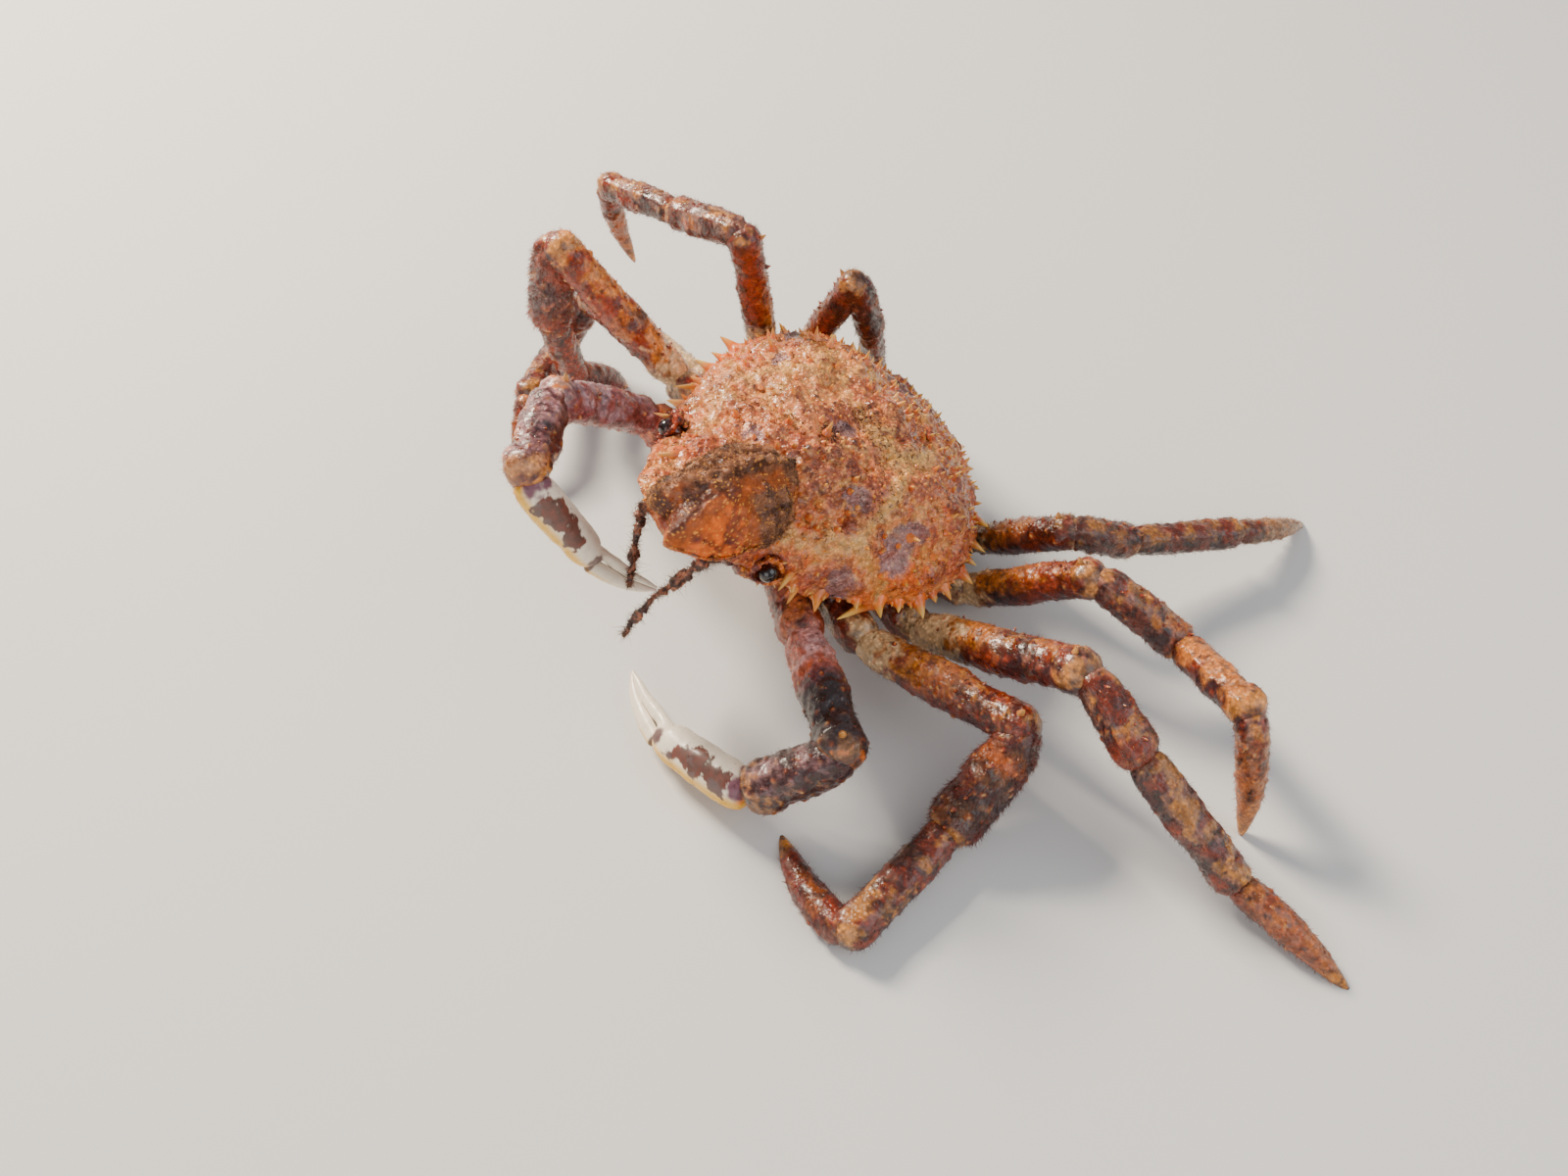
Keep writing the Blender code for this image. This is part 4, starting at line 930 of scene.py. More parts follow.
def article_colours(kind, points, t, upward, ridge, seed, side, pair):
    """Markings of a leg article, with painted highlights on its upper faces and painted shade below: t runs
    along it, upward is its normal's height, ridge 1 on its upper edge.
    """
    big = rough(points, 7, 2, seed)
    middle = rough(points, 2.8, 3, seed + 9)
    fine = rough(points, 1.2, 2, seed + 17)
    pale = np.zeros(len(points))
    colour = mix(LEG_RED if kind != "carpus" else LEG_RED * 0.75, PLUM, ramp(big + 0.7 * middle, -0.25, 0.45))
    # Lilac on upward faces: partly the legs' own lilac, partly a painted highlight
    lilac_highlight = ramp(upward + 0.9 * middle - 0.5 * fine + 0.3 * big, 0.55, 1.1)
    colour = mix(colour, LILAC_HIGHLIGHT, lilac_highlight * (0.55 if pair > 2 else 0.42))
    # Painted sunlit highlight: gold along the upper edge
    sunlit_gold = ramp(1.1 * ridge + 0.8 * middle + 0.5 * fine, 1.0, 1.5)
    colour = mix(colour, SUNLIT_GOLD, sunlit_gold * 0.75)
    if kind == "merus" and pair > 1:
        reach = 1.1 if side == "right" and pair == 2 else 0.7
        golden = ramp(t, 0.14, 0.22) * ramp(t, reach, reach - 0.35)
        golden = golden * ramp(ridge + 0.8 * middle + 0.3 * upward, 0.1, 0.9)
        colour = mix(colour, ink(224, 152, 58) * (1.3 if reach > 1 else 1), golden * 0.85)
        red = ramp(t, 0.3, 0.5) * ramp(middle - 0.4 * upward, -0.3, 0.4)
        colour = mix(colour, ink(180, 70, 30), red * 0.6)
        paleness = {3: 0.38, 4: 0.26}.get(pair, 0.25)
        pale = ramp(t + 0.06 * fine + 0.07 * middle, paleness, paleness - 0.12)
        colour = mix(colour, PALE_BASE, pale * 0.95)
        if side == "right" and pair == 2:
            spot = bump(t - 0.42, 0.05) * ramp(upward + 0.3 * fine, 0.2, 0.5)
            colour = mix(colour, ink(84, 48, 58), spot * 0.8)
    elif kind == "merus":
        # Paler on upward faces: the merus's own lilac-pink, lightened there as painted highlight
        colour = mix(ink(142, 88, 88), ink(172, 146, 150), ramp(upward * 0.6 + 0.9 * middle, -0.2, 0.6) * 0.85)
        colour = mix(colour, ink(92, 40, 42), ramp(fine, 0.1, 0.7) * 0.4)
        if points[:, 0].mean() > 0:
            colour = mix(colour, ink(214, 124, 92) * 1.4, ramp(t, 0.44, 0.32) * 0.7)
            rosy = ramp(t, 0.4, 0.28) * ramp(upward + 0.7 * middle, 0.1, 0.8)
            colour = mix(colour, ink(224, 182, 178) * 1.4, rosy * 0.8)
            colour = mix(colour, ink(222, 116, 40), bump(t - 0.38, 0.06) * ramp(middle, -0.3, 0.4))
            # Dark far half of the merus: the leg's own dark colour deepened as painted shadow
            colour = mix(colour, ink(54, 28, 22), ramp(t + 0.08 * middle, 0.4, 0.5) * 0.85)
        colour = mix(colour, ink(236, 140, 50), ramp(t, 0.88, 0.95) * ramp(fine, 0.2, 0.6) * 0.7)
    elif kind == "carpus" and pair == 1:
        lit = ramp(0.5 * middle + 0.4 * fine + upward, 0.5, 1.2)
        colour = mix(ink(96, 46, 44), ink(196, 154, 154), lit * 0.8)
        colour = mix(colour, ink(214, 156, 84), ramp(fine - 0.5 * upward + ramp(t, 0.5, 0.9), 0.6, 1.1) * 0.65)
        colour = mix(colour, PLUM * 0.7, ramp(big + 0.4 * middle, 0.0, 0.5) * 0.65)
    elif kind == "carpus" and pair == 2 and side == "left":
        colour = mix(colour, mix(ink(128, 40, 26), ink(84, 34, 36), ramp(big, -0.4, 0.4)), 0.75)
        patch = bump(t - 0.28, 0.06) * ramp(upward + middle, 0.5, 1.0)
        colour = mix(colour, ink(222, 130, 52), patch * 0.85)
    elif kind == "carpus":
        colour = mix(colour, ink(206, 108, 48), ramp(t + 0.25 * middle, 0.65, 0.95) * 0.5)
    elif kind == "propodus" and pair == 4 and side == "left":
        bright = ramp(t, 0.1, 0.3) * ramp(upward + 0.7 * middle, -0.1, 0.7)
        colour = mix(colour, ink(240, 164, 88), bright * 0.85)
    elif kind == "dactyl":
        shaft = {2: ink(150, 62, 38), 4: ink(224, 152, 92), 5: ink(226, 178, 130)}.get(pair, ink(200, 122, 66))
        beyond = ramp(t + 0.15 * middle + 0.1 * upward, 0.05, 0.4)
        colour = mix(colour, shaft * (1.6 if pair == 5 else 1), beyond * 0.75)
        colour = mix(colour, ink(230, 164, 60), ramp(t + 0.05 * middle, 0.74, 0.95) * 0.8)
        colour = mix(colour, ink(92, 52, 34), ramp(t, 0.965, 0.995) * 0.7)
    elif kind == "hip":
        light = ink(206, 132, 104) if pair == 1 else PALE_BASE * 0.85
        colour = mix(colour, light, ramp(middle, -0.6, 0.5) * 0.7)
    # Redder and darker on faces that point down: partly the legs' own under colour, partly painted shade
    colour = mix(colour, LEG_RED * 0.7, ramp(upward, 0.0, -0.7) * 0.6)
    if kind not in ("dactyl", "hip"):
        knee = ramp(t + 0.03 * middle, 0.86, 0.91)
        knee = knee * ramp(middle + 0.5 * upward, -0.1, 0.6)
        colour = mix(colour, ink(238, 178, 104), knee * (0.25 if pair == 1 else 0.7))
        colour = mix(colour, ink(110, 66, 62), ramp(t, 0.975, 0.99) * 0.6)
    blot = ramp(rough(points, 1.9, 3, seed + 27), 0.32, 0.55) * (0.4 if pair == 1 else 1)
    colour = mix(colour, mix(PLUM * 0.5, colour * 0.35, 0.5), blot * 0.7 * (1 - 0.7 * pale))
    grain, owner = cells(points + 0.4 * fine[:, None], 2.0, seed + 40)
    colour = mix(colour, DARK_PIT, ramp(grain + 0.1 * fine, 0.24, 0.14) * (owner > 0.4) * 0.85)
    return colour * (RIGHT_GAIN if side == "right" else LEFT_GAIN)[pair]


def make_article(kind, name, start, end, radius, seed, pair, side, coats, bend_way=None):
    rng = np.random.default_rng(seed)
    axis = unit(end - start)
    length = float(np.linalg.norm(end - start))
    up = raised(axis)
    rows = int(max(length, 14) / ROW_STEP * DETAIL)
    columns = int(radius * 2 * math.pi / COLUMN_STEP * DETAIL)
    if kind == "dactyl":
        t = np.linspace(0, 1, rows)
        places = t * length
        radii = along(DACTYL_PROFILE, t) * radius
        route = start + axis * places[:, None] + bend_way * (DACTYL_BOW * length * np.sin(math.pi * t))[:, None]
    else:
        cap = 0.5 * radius
        profile = ((-0.2 * radius, 0.5), (0.1 * radius, 0.7), (0.6 * radius, 0.9), (1.3 * radius, 0.97),
                   (0.5 * length, 1.0), (length - 1.5 * radius, 0.97), (length - 0.7 * radius, 1.05),
                   (length + cap, 1.0))
        places = -0.2 * radius + (length + cap + 0.2 * radius) * (1 - (1 - np.linspace(0, 1, rows)) ** 1.15)
        t = (places + 0.2 * radius) / (length + cap + 0.2 * radius)
        dome = np.clip((places - length + 0.35 * radius) / (cap + 0.37 * radius), 0, 1)
        radii = along(profile, places) * radius * np.sqrt(1 - dome ** 2)
        if kind == "hip":
            radii *= 1 - 0.1 * bump(places / length - 0.5, 0.03)
        else:
            radii *= 1 + 0.03 * line_noise(places, 8.0, 3, seed) * np.sin(math.pi * t)
            radii *= 1 + 0.06 * rng.uniform(0.3, 1) * bump(places / length - rng.uniform(0.4, 0.7), 0.2)
        wander = np.sin(math.pi * np.clip(places / length, 0, 1))[:, None] * 0.05 * radius
        sway = np.stack([line_noise(places, 7.0, 5 + i, seed + i) for i in range(3)], -1)
        route = start + axis * places[:, None] + sway * wander
    grid, cosine = loft(route, radii, up, columns)
    normal = normals_of(grid)
    points = grid.reshape(-1, 3)
    along_t = np.repeat(t, columns)
    calm = np.clip(np.minimum(along_t, 1 - along_t) / 0.08, 0, 1)
    if kind == "dactyl":
        calm *= ramp(along_t, 0.95, 0.5)
    grain, owner = cells(points, 1.9, seed + 60)
    knobs = ramp(grain, 0.42, 0.08) * (owner > 0.5)
    small, small_owner = cells(points, 0.95, seed + 66)
    bead = ramp(small, 0.48, 0.12)
    coarse = rough(points, 4.2, 2, seed + 1)
    lift = coarse * 0.05 * radius + rough(points, 1.7, 2, seed + 2) * 0.15 + knobs * 0.42 * owner + bead * 0.1
    if pair == 1 and kind in ("merus", "carpus"):
        lift += ramp(rough(points, 3.2, 2, seed + 3), -0.1, 0.6) * 0.4
    if kind in ("carpus", "propodus"):
        ridge = bump(cosine.ravel() - 0.72, 0.14)
        lift += ridge * 0.25 - bump(cosine.ravel() - 0.3, 0.2) * 0.2
    lift *= calm
    upward = normal.reshape(-1, 3)[:, 2]
    ridge = np.clip(cosine.ravel(), 0, 1)
    colour = article_colours(kind, points, along_t, upward, ridge, seed, side, pair)
    # Painted shade between the beads and in the hollows of the coarse relief
    colour = mix(colour, colour * 0.5, (1 - bead) * 0.55 * calm)
    colour = mix(colour, colour * 0.6, ramp(coarse, -0.1, -0.7) * 0.6)
    knob = mix(ORANGE * 0.8, SPINE_TIP, ramp(grain, 0.24, 0.05))
    colour = mix(colour, knob, knobs * calm * (0.25 + 0.5 * (owner > 0.75)))
    points = points + normal.reshape(-1, 3) * lift[:, None]
    grid = points.reshape(grid.shape)
    tints = colour.reshape(grid.shape)
    surface = Surface()
    surface.add_grid(grid, tints)
    if kind == "merus":
        crown = end - axis * 0.5 * radius + up * 0.7 * radius
        way = unit(axis * 0.5 + up)
        size = np.array([radius])
        points, colours, quads = thorns(crown[None], way[None], 0.8 * size, 0.36 * size, ink(190, 92, 44),
                                        ink(236, 180, 110), sides=12)
        surface.add(points, colours, quads)
    if kind in ("merus", "carpus"):
        picks = np.arange(int(0.2 * rows), int(0.86 * rows), max(int(3.2 / length * rows), 2))
        cross = np.cross(axis, up)
        for lane in (0.0, 0.55, -0.6):
            ways = np.repeat(unit(up * math.cos(lane) + cross * math.sin(lane))[None], len(picks), axis=0)
            roots = route[picks] + ways * (radii[picks] * 0.97)[:, None]
            roots = roots + rng.normal(scale=0.25, size=ways.shape)
            sizes = rng.uniform(0.4, 1.0, len(picks)) * (1 if lane == 0 else 0.7)
            points, colours, quads = thorns(roots, unit(ways + axis * 0.3), sizes, sizes * 0.5,
                                            ink(160, 74, 44), ink(226, 150, 84), sides=7)
            surface.add(points, colours, quads)
    surface.make("skin_" + name, LEG_SHELL, "leg_shell", [name])

    count = LEG_HAIRS[kind]
    if pair == 1:
        count = int(count * CLAW_HAIR_SHARE)
    if pair == 2 and kind == "carpus":
        count = HAIRY_CARPUS
    if kind == "merus" and pair > 1:
        count = int(count * 1.1)
    count = int(count * DETAIL)
    weights = np.repeat((calm.reshape(rows, columns)[:, 0] + 0.03)[:, None], columns, axis=1)
    roots, ways, tufts, places_uv = scatter_on(grid, normal, tints, count, rng, weights)
    lie = ways * rng.uniform(0.35, 1.0, (count, 1)) + axis * rng.uniform(0.5, 1.1, (count, 1))
    lie = unit(lie + rng.normal(scale=0.25, size=ways.shape))
    sizes = rng.uniform(0.5, 1.15, count) * (1.35 if pair == 2 and kind == "carpus" else 1)
    shade = mix(tufts * 1.15, ink(170, 92, 44), rng.random(count) * 0.55)
    bristles(coats, roots, lie, sizes, 0.042, shade, places_uv, rng)
    return grid


def make_claw(side, joints, radius, coats):
    rng = np.random.default_rng(40 if side == "left" else 41)
    wrist, knuckle, tip = joints[2], joints[3], joints[4]
    hand_axis, reach = unit(knuckle - wrist), unit(tip - knuckle)
    facing = np.array(CLAW_FACING[side])
    across_hand = unit(facing - hand_axis * (facing @ hand_axis))
    across_finger = unit(facing - reach * (facing @ reach))
    thin = unit(np.cross(hand_axis, across_hand))
    stations = [(t, offset + PALM_SHIFT[side] * (1 - t * t), factor) for t, offset, factor in PALM_STATIONS]
    stations += [(1 + t, offset, factor) for t, offset, factor in FIXED_FINGER_STATIONS]
    places = np.array([station[0] for station in stations])
    centres = np.array([
        wrist + (knuckle - wrist) * t + across_hand * offset * radius if t < 1
        else knuckle + (tip - knuckle) * (t - 1) + across_finger * offset * radius
        for t, offset, _ in stations])

    def meeting(points, way):
        """How far points have to move along the claw's width to stay on their side of the line."""
        place = np.clip((points - knuckle) @ reach / np.linalg.norm(tip - knuckle), 0, 1)
        beyond = along(MEETING_LINE, place) * radius + way * HALF_SLIT - (points - knuckle) @ across_finger
        return np.maximum(beyond * way, 0) * way

    rows, columns = int(HAND_ROWS * DETAIL), int(HAND_COLUMNS * DETAIL)
    t = np.linspace(places[0], places[-1], rows)
    route = route_along(places, centres, t)
    radii = along([(p, f) for p, (a, b, f) in zip(places, stations)], t) * radius
    radii *= (1 - 0.25 * ramp(t, 0.06, 0.03)) * (1 + 0.12 * ramp(t, 1.1, 1.3))
    grid, cosine = loft(route, radii, across_hand, columns)
    depth = (grid - wrist) @ thin
    grid = grid - thin * (depth * (1 - PALM_THICKNESS))[..., None]
    points = grid.reshape(-1, 3)
    normal = normals_of(grid)
    inner = cosine.ravel()
    t_all = np.repeat(t, columns)
    middle, fine = rough(points, 2.2, 3, 7), rough(points, 0.8, 2, 8)
    flat_side = np.sqrt(np.maximum(1 - inner ** 2, 0))
    cool = ramp(flat_side, 0.4, 1) * ramp(t_all, 0.2, 0.6) * ramp(t_all, 1.3, 0.9)
    colour = mix(CLAW_WHITE, ink(196, 196, 200), cool * 0.15)
    colour = mix(colour, CLAW_YELLOW, ramp(inner, -0.35, -0.85) * ramp(t_all, 1.05, 0.9))
    warm = ramp(t_all + 0.05 * middle, 0.1, 0.0) * 0.8
    colour = mix(colour, ORANGE, warm * ramp(inner, 0.2, -0.6))
    base = ramp(t_all + 0.06 * middle, 0.2, 0.1) * ramp(inner, -0.75, -0.45)
    colour = mix(colour, ink(150, 108, 120), base)
    fade = ramp(t_all, 0.1, 0.24) * ramp(t_all + 0.1 * inner, 0.8, 0.66)
    brown = fade * ramp(inner + 0.2 * middle, -0.72, -0.5) * ramp(inner + 0.25 * middle, 0.62, 0.4)
    brown = ramp(brown + 0.3 * fine + 0.2 * middle, 0.45, 0.6) * (brown > 0.02)
    # Painted sheen: part of the brown patch turns greyish lilac
    lilac_sheen = ramp(0.5 * middle - inner, 0.35, 0.65)
    blotch_with_sheen = mix(CLAW_BROWN * (1 + 0.5 * fine[:, None]), ink(116, 100, 106), lilac_sheen * 0.7)
    colour = mix(colour, blotch_with_sheen, brown * 0.95)
    for face in (1, -1):
        spot = knuckle + thin * face * radius * 0.5 - across_hand * 0.1 * radius - hand_axis * 0.2
        distance = np.linalg.norm(points - spot, axis=1) + 0.25 * fine
        colour = mix(colour, CLAW_PURPLE, ramp(distance, 2.5, 1.4) * 0.95)
        condyle = np.linalg.norm(points - spot - reach * 1.5 + across_hand * 0.3, axis=1)
        colour = mix(colour, ink(236, 206, 196), ramp(condyle, 0.9, 0.45))
    grain, owner = cells(points, 2.6, 77)
    colour = mix(colour, ink(70, 40, 24), ramp(grain, 0.12, 0.06) * (owner > 0.55) * 0.7)
    # Painted shade in the slit where the fingers meet
    colour = mix(colour, ink(96, 78, 60), ramp(inner, -0.85, -0.98) * ramp(t_all, 1.08, 1.16) * 0.8)
    lift = rough(points, 2.5, 2, 9) * 0.07 + brown * 0.05
    points = points + normal.reshape(-1, 3) * (lift * ramp(t_all, 1.9, 1.6))[:, None]
    points = points + across_finger * (meeting(points, 1) * ramp(t_all, 1.04, 1.12))[:, None]
    surface = Surface()
    grid = points.reshape(grid.shape)
    tints = colour.reshape(grid.shape)
    surface.add_grid(grid, tints)
    name = "cheliped_%s_palm" % side
    surface.make("skin_" + name, CLAW_SHELL, "claw_shell", [name])
    weights = np.repeat((ramp(t, 0.25, 0.05) + 0.02)[:, None], columns, axis=1)
    roots, ways, tufts, places_uv = scatter_on(grid, normal, tints, HAND_HAIRS, rng, weights)
    sizes = rng.uniform(0.3, 0.7, HAND_HAIRS)
    bristles(coats, roots, unit(ways + hand_axis), sizes, 0.035, tufts * 0.7, places_uv, rng)

    stations = np.array(MOVABLE_FINGER_STATIONS)
    t = np.linspace(stations[0, 0], stations[-1, 0], int(FINGER_ROWS * DETAIL))
    sideways = along(stations[:, :2], t) * radius
    route = knuckle + (tip - knuckle) * t[:, None] + across_finger * sideways[:, None]
    radii = along(stations[:, ::2], t) * radius
    radii = radii * (1 - 0.35 * ramp(t, 0.02, -0.05)) * (1 + 0.1 * ramp(t, 0.1, 0.3))
    grid, cosine = loft(route, radii, across_finger, columns, 0.85)
    points = grid.reshape(-1, 3)
    normal = normals_of(grid)
    inner = cosine.ravel()
    t_all = np.repeat(t, columns)
    colour = mix(CLAW_WHITE, CLAW_YELLOW, ramp(inner, -0.2, -0.9) * ramp(t_all, 0.55, 0.0) * 0.9)
    colour = mix(colour, ink(240, 214, 206), ramp(t_all, 0.6, 0.95) * 0.6)
    colour = mix(colour, ink(110, 60, 34), ramp(t_all, 0.035, 0.0) * 0.9)
    # Painted shade in the slit where the fingers meet
    colour = mix(colour, ink(96, 78, 60), ramp(inner, 0.85, 0.98) * 0.8)
    grain, owner = cells(points, 2.6, 78)
    colour = mix(colour, ink(70, 40, 24), ramp(grain, 0.12, 0.06) * (owner > 0.7) * 0.6)
    lift = rough(points, 2.5, 2, 19) * 0.05 * ramp(t_all, 1.0, 0.8)
    points = points + normal.reshape(-1, 3) * lift[:, None]
    points = points + across_finger * (meeting(points, -1) * ramp(t_all, 0.04, 0.14))[:, None]
    surface = Surface()
    surface.add_grid(points.reshape(grid.shape), colour)
    name = "cheliped_%s_finger" % side
    surface.make("skin_" + name, CLAW_SHELL, "claw_shell", [name])


def make_limb(side, pair, coats):
    joints = limb_joints(side, pair)
    claw = pair == 1
    stem = ("cheliped_%s_" % side) if claw else ("leg_%s_%d_" % (side, pair))
    seed = 100 * pair + (1 if side == "left" else 2)
    root = in_world(to_side(HIP_ROOT[pair], side))
    make_article("hip", stem + "hip", root, joints[0], HIP_RADIUS[pair], seed, pair, side, coats)
    names = ("merus", "carpus") if claw else ("merus", "carpus", "propodus", "dactyl")
    for i, kind in enumerate(names):
        start, end = joints[i], joints[i + 1]
        bend_way = None
        if kind == "dactyl":
            direction = unit(end - start)
            before = unit(start - joints[i - 1])
            bend_way = unit(before - direction * (before @ direction))
            if bend_way[2] < -BEND_LIMIT:
                bend_way = -bend_way
        radius = RADII[pair][i] * SLIMNESS[side]
        make_article(kind, stem + kind, start, end, radius, seed + 10 * (i + 1), pair, side, coats, bend_way)
    if claw:
        make_claw(side, joints, RADII[pair][2] * SLIMNESS[side], coats)


# Under side, mouth, eyes, feelers and growth

def ball_grid(rows, columns):
    """Unit directions in rows from the top to the bottom."""
    level = np.linspace(math.pi / 2 - 0.02, -math.pi / 2 + 0.02, rows)
    angle = np.arange(columns) * 2 * math.pi / columns
    return np.stack([np.cos(level)[:, None] * np.cos(angle), np.cos(level)[:, None] * np.sin(angle),
                     np.repeat(np.sin(level)[:, None], columns, 1)], -1)


TRUNK_TOP = -12.3
TRUNK_BOTTOM = -19.0
TRUNK_EDGE_DROP = 1.2
TRUNK_SEAMS = (-13, -4, 5, 14, 22)
ABDOMEN_RADII = (12.5, 17, 2.2)
ABDOMEN_CENTRE = (0, 14, TRUNK_BOTTOM - 0.4)
MOUTH_CENTRE = np.array((0, -27, -12))
MOUTH_HAIRS = 900
# The trunk, narrower at its front than the solid
TRUNK_WIDTH = ((-24, 0), (-23, 6.5), (-20, 10.5), (-14, 16), (-6, 20), (6, 21), (16, 19.5), (24, 16),
               (29, 9), (30, 0))


def make_under_side(coats):
    rng = np.random.default_rng(8)
    rows, columns = int(110 * DETAIL), int(200 * DETAIL)
    u = ball_grid(rows, columns)
    flat = np.hypot(u[..., 0], u[..., 1])
    angle = np.arctan2(u[..., 1], u[..., 0])
    front, rear = TRUNK_WIDTH[0][0], TRUNK_WIDTH[-1][0]
    edge_y = (front + rear) / 2 + np.sin(angle) * (rear - front) / 2
    edge_x = np.copysign(along(TRUNK_WIDTH, edge_y), np.cos(angle))
    upper = u[..., 2] > 0
    share = np.where(upper, np.minimum(flat / 0.9, 1), 0.25 * flat + 0.75 * np.minimum(flat / 0.75, 1))
    x, y = share * edge_x, 2 + share * (edge_y - 2)
    depth = ramp(-u[..., 2], 0, 0.6)
    z = np.where(upper, TRUNK_TOP - TRUNK_EDGE_DROP * ramp(flat, 0.85, 1),
                 TRUNK_TOP - TRUNK_EDGE_DROP + (TRUNK_BOTTOM - TRUNK_TOP + TRUNK_EDGE_DROP) * depth)
    seams = np.zeros_like(x)
    for y0 in TRUNK_SEAMS:
        seams = np.maximum(seams, bump(y - y0 - 0.12 * np.abs(x), 0.7) * ramp(np.abs(x), 5, 9))
    z = z + np.where(upper, 0, 0.8 * seams + 3.5 * depth * ramp(y, -11, -22))
    points = np.stack([x, y, z], -1).reshape(-1, 3)
    middle = rough(points, 3, 3, 12)
    grain, owner = cells(points, 1.6, 13)
    points = points + np.array((0, 0, -1.0)) * (ramp(grain, 0.45, 0.1) * 0.2 * (~upper).ravel())[:, None]
    colour = mix(ink(214, 176, 132), ink(190, 120, 84), ramp(middle, 0, 0.7))
    # Painted shade: the thorax's front, under the carapace, is painted brown in place of its own pale cream
    front_shade_brown = mix(ink(96, 44, 24), ink(170, 88, 44), ramp(middle, -0.4, 0.5))
    colour = mix(colour, front_shade_brown, ramp(points[:, 1], -8, -17) * 0.9)
    colour = mix(colour, RUST, seams.ravel() * 0.6)
    surface = Surface()
    surface.add_grid(in_world(points).reshape(u.shape), colour, turned=True)
    surface.make("skin_thorax", SHELL, "carapace_shell", ["thorax"])

    rows, columns = int(90 * DETAIL), int(120 * DETAIL)
    u = ball_grid(rows, columns)
    points = u.reshape(-1, 3) * ABDOMEN_RADII
    steps = bump(np.mod(points[:, 1] + 17, 5.2) - 2.6, 0.45)
    keel = bump(points[:, 0], 2.2) * 0.35
    inward = ramp(np.abs(u.reshape(-1, 3)[:, 2]), 0.1, 0.5)
    points[:, 2] -= np.where(points[:, 2] < 0, keel - 0.45 * steps, 0) * inward
    points += ABDOMEN_CENTRE
    middle = rough(points, 3, 3, 14)
    colour = mix(ink(206, 158, 116), ink(176, 98, 66), ramp(middle + 0.6 * steps, 0.1, 0.9))
    surface = Surface()
    surface.add_grid(in_world(points).reshape(u.shape), colour, turned=True)
    surface.make("skin_abdomen", SHELL, "carapace_shell", ["abdomen"])

    rows, columns = int(80 * DETAIL), int(110 * DETAIL)
    u = ball_grid(rows, columns)
    flat_u = u.reshape(-1, 3)
    crease = 0.75 + 0.25 * ramp(np.abs(flat_u[:, 0]), 0, 0.25)
    points = flat_u * np.stack([np.full(len(flat_u), 7.0), 5 * crease, np.full(len(flat_u), 4.5)], -1)
    joint = bump(points[:, 2] + 0.6, 0.35) + bump(np.abs(points[:, 0]) - 4.6, 0.3) * (points[:, 1] < 0)
    points += flat_u * (rough(points, 1.4, 2, 15) * 0.12 - 0.35 * np.clip(joint, 0, 1))[:, None]
    colour = mix(ink(150, 76, 40), ink(84, 36, 24), ramp(rough(points, 2, 3, 16), -0.1, 0.6))
    colour = mix(colour, DEEP_RED * 0.7, np.clip(joint, 0, 1) * 0.6)
    points += MOUTH_CENTRE
    surface = Surface()
    world = in_world(points).reshape(u.shape)
    tints = colour.reshape(u.shape)
    surface.add_grid(world, tints, turned=True)
    surface.make("skin_maxillipeds", SHELL, "carapace_shell", ["maxillipeds"])
    outward = unit(world - in_world(MOUTH_CENTRE))
    count = int(MOUTH_HAIRS * DETAIL)
    roots, ways, tufts, uv = scatter_on(world, outward, tints, count, rng)
    lie = unit(ways + (0, -0.3, -0.6) + rng.normal(scale=0.2, size=ways.shape))
    bristles(coats, roots, lie, rng.uniform(0.5, 1.3, count), 0.04, mix(tufts, TAN, 0.4), uv, rng)


def make_eyes():
    for side in ("left", "right"):
        centre = to_side(EYE_CENTRE, side)
        root = to_side(EYE_STALK_ROOT, side)
        u = ball_grid(int(70 * DETAIL), int(90 * DETAIL))
        gaze = unit(centre - root)
        front = (u @ gaze).ravel()
        points = centre + u.reshape(-1, 3) * ((EYE_RADIUS - 0.1) * (1 + 0.03 * ramp(front, 0.2, 1)))[:, None]
        colour = mix(ink(120, 58, 30), ink(46, 22, 16), ramp(front + 0.2 * rough(points, 0.9, 2, 3), -0.3, 0.4))
        surface = Surface()
        surface.add_grid(in_world(points).reshape(u.shape), colour, turned=True)
        t = np.linspace(0, 1, 30)
        route = root + (centre - root) * t[:, None]
        radii = 1.25 + 0.35 * ramp(t, 0.5, 0.9) - 0.2 * bump(t - 0.45, 0.1)
        grid, _ = loft(route, radii, np.array((0, 0, 1.0)), 32)
        stalk = mix(ink(150, 70, 30), ink(96, 40, 24), ramp(rough(grid.reshape(-1, 3), 1.0, 2, 4), -0.3, 0.5))
        surface.add_grid(in_world(grid), stalk)
        surface.make("eye_ball_" + side, EYE, "eye", ["eye_" + side])


def make_feeler_base(side, end):
    """The stout beaded articles between the eye and the feeler."""
    start = in_world([to_side(place, side) for place in FEELER_BASE])
    stations = np.concatenate([start, end[None]])
    key = np.linspace(0, 1, len(stations))
    t = np.linspace(0, 1, int(110 * DETAIL))
    route = route_along(key, stations, t)
    radii = along(FEELER_BASE_RADII, t)
    columns = int(70 * DETAIL)
    grid, _ = loft(route, radii, np.array((0, 0, 1.0)), columns)
    normal = normals_of(grid)
    points = grid.reshape(-1, 3)
    grain, _ = cells(points, 0.95, 35)
    bead = ramp(grain, 0.5, 0.14)
    points = points + normal.reshape(-1, 3) * (bead * 0.17 + rough(points, 2.0, 2, 36) * 0.22)[:, None]
    colour = mix(ink(176, 82, 32), ink(236, 160, 62), ramp(rough(points, 1.8, 3, 37), -0.2, 0.7))
    colour = mix(colour, ink(120, 56, 48), ramp(np.repeat(t, columns), 0.45, 0.6) * 0.8)
    # Painted shade in the crevices between the beads
    colour = mix(colour, colour * 0.45, 1 - bead) * 1.3
    surface = Surface()
    surface.add_grid(points.reshape(grid.shape), colour)
    surface.make("feeler_base_" + side, SHELL, "carapace_shell")


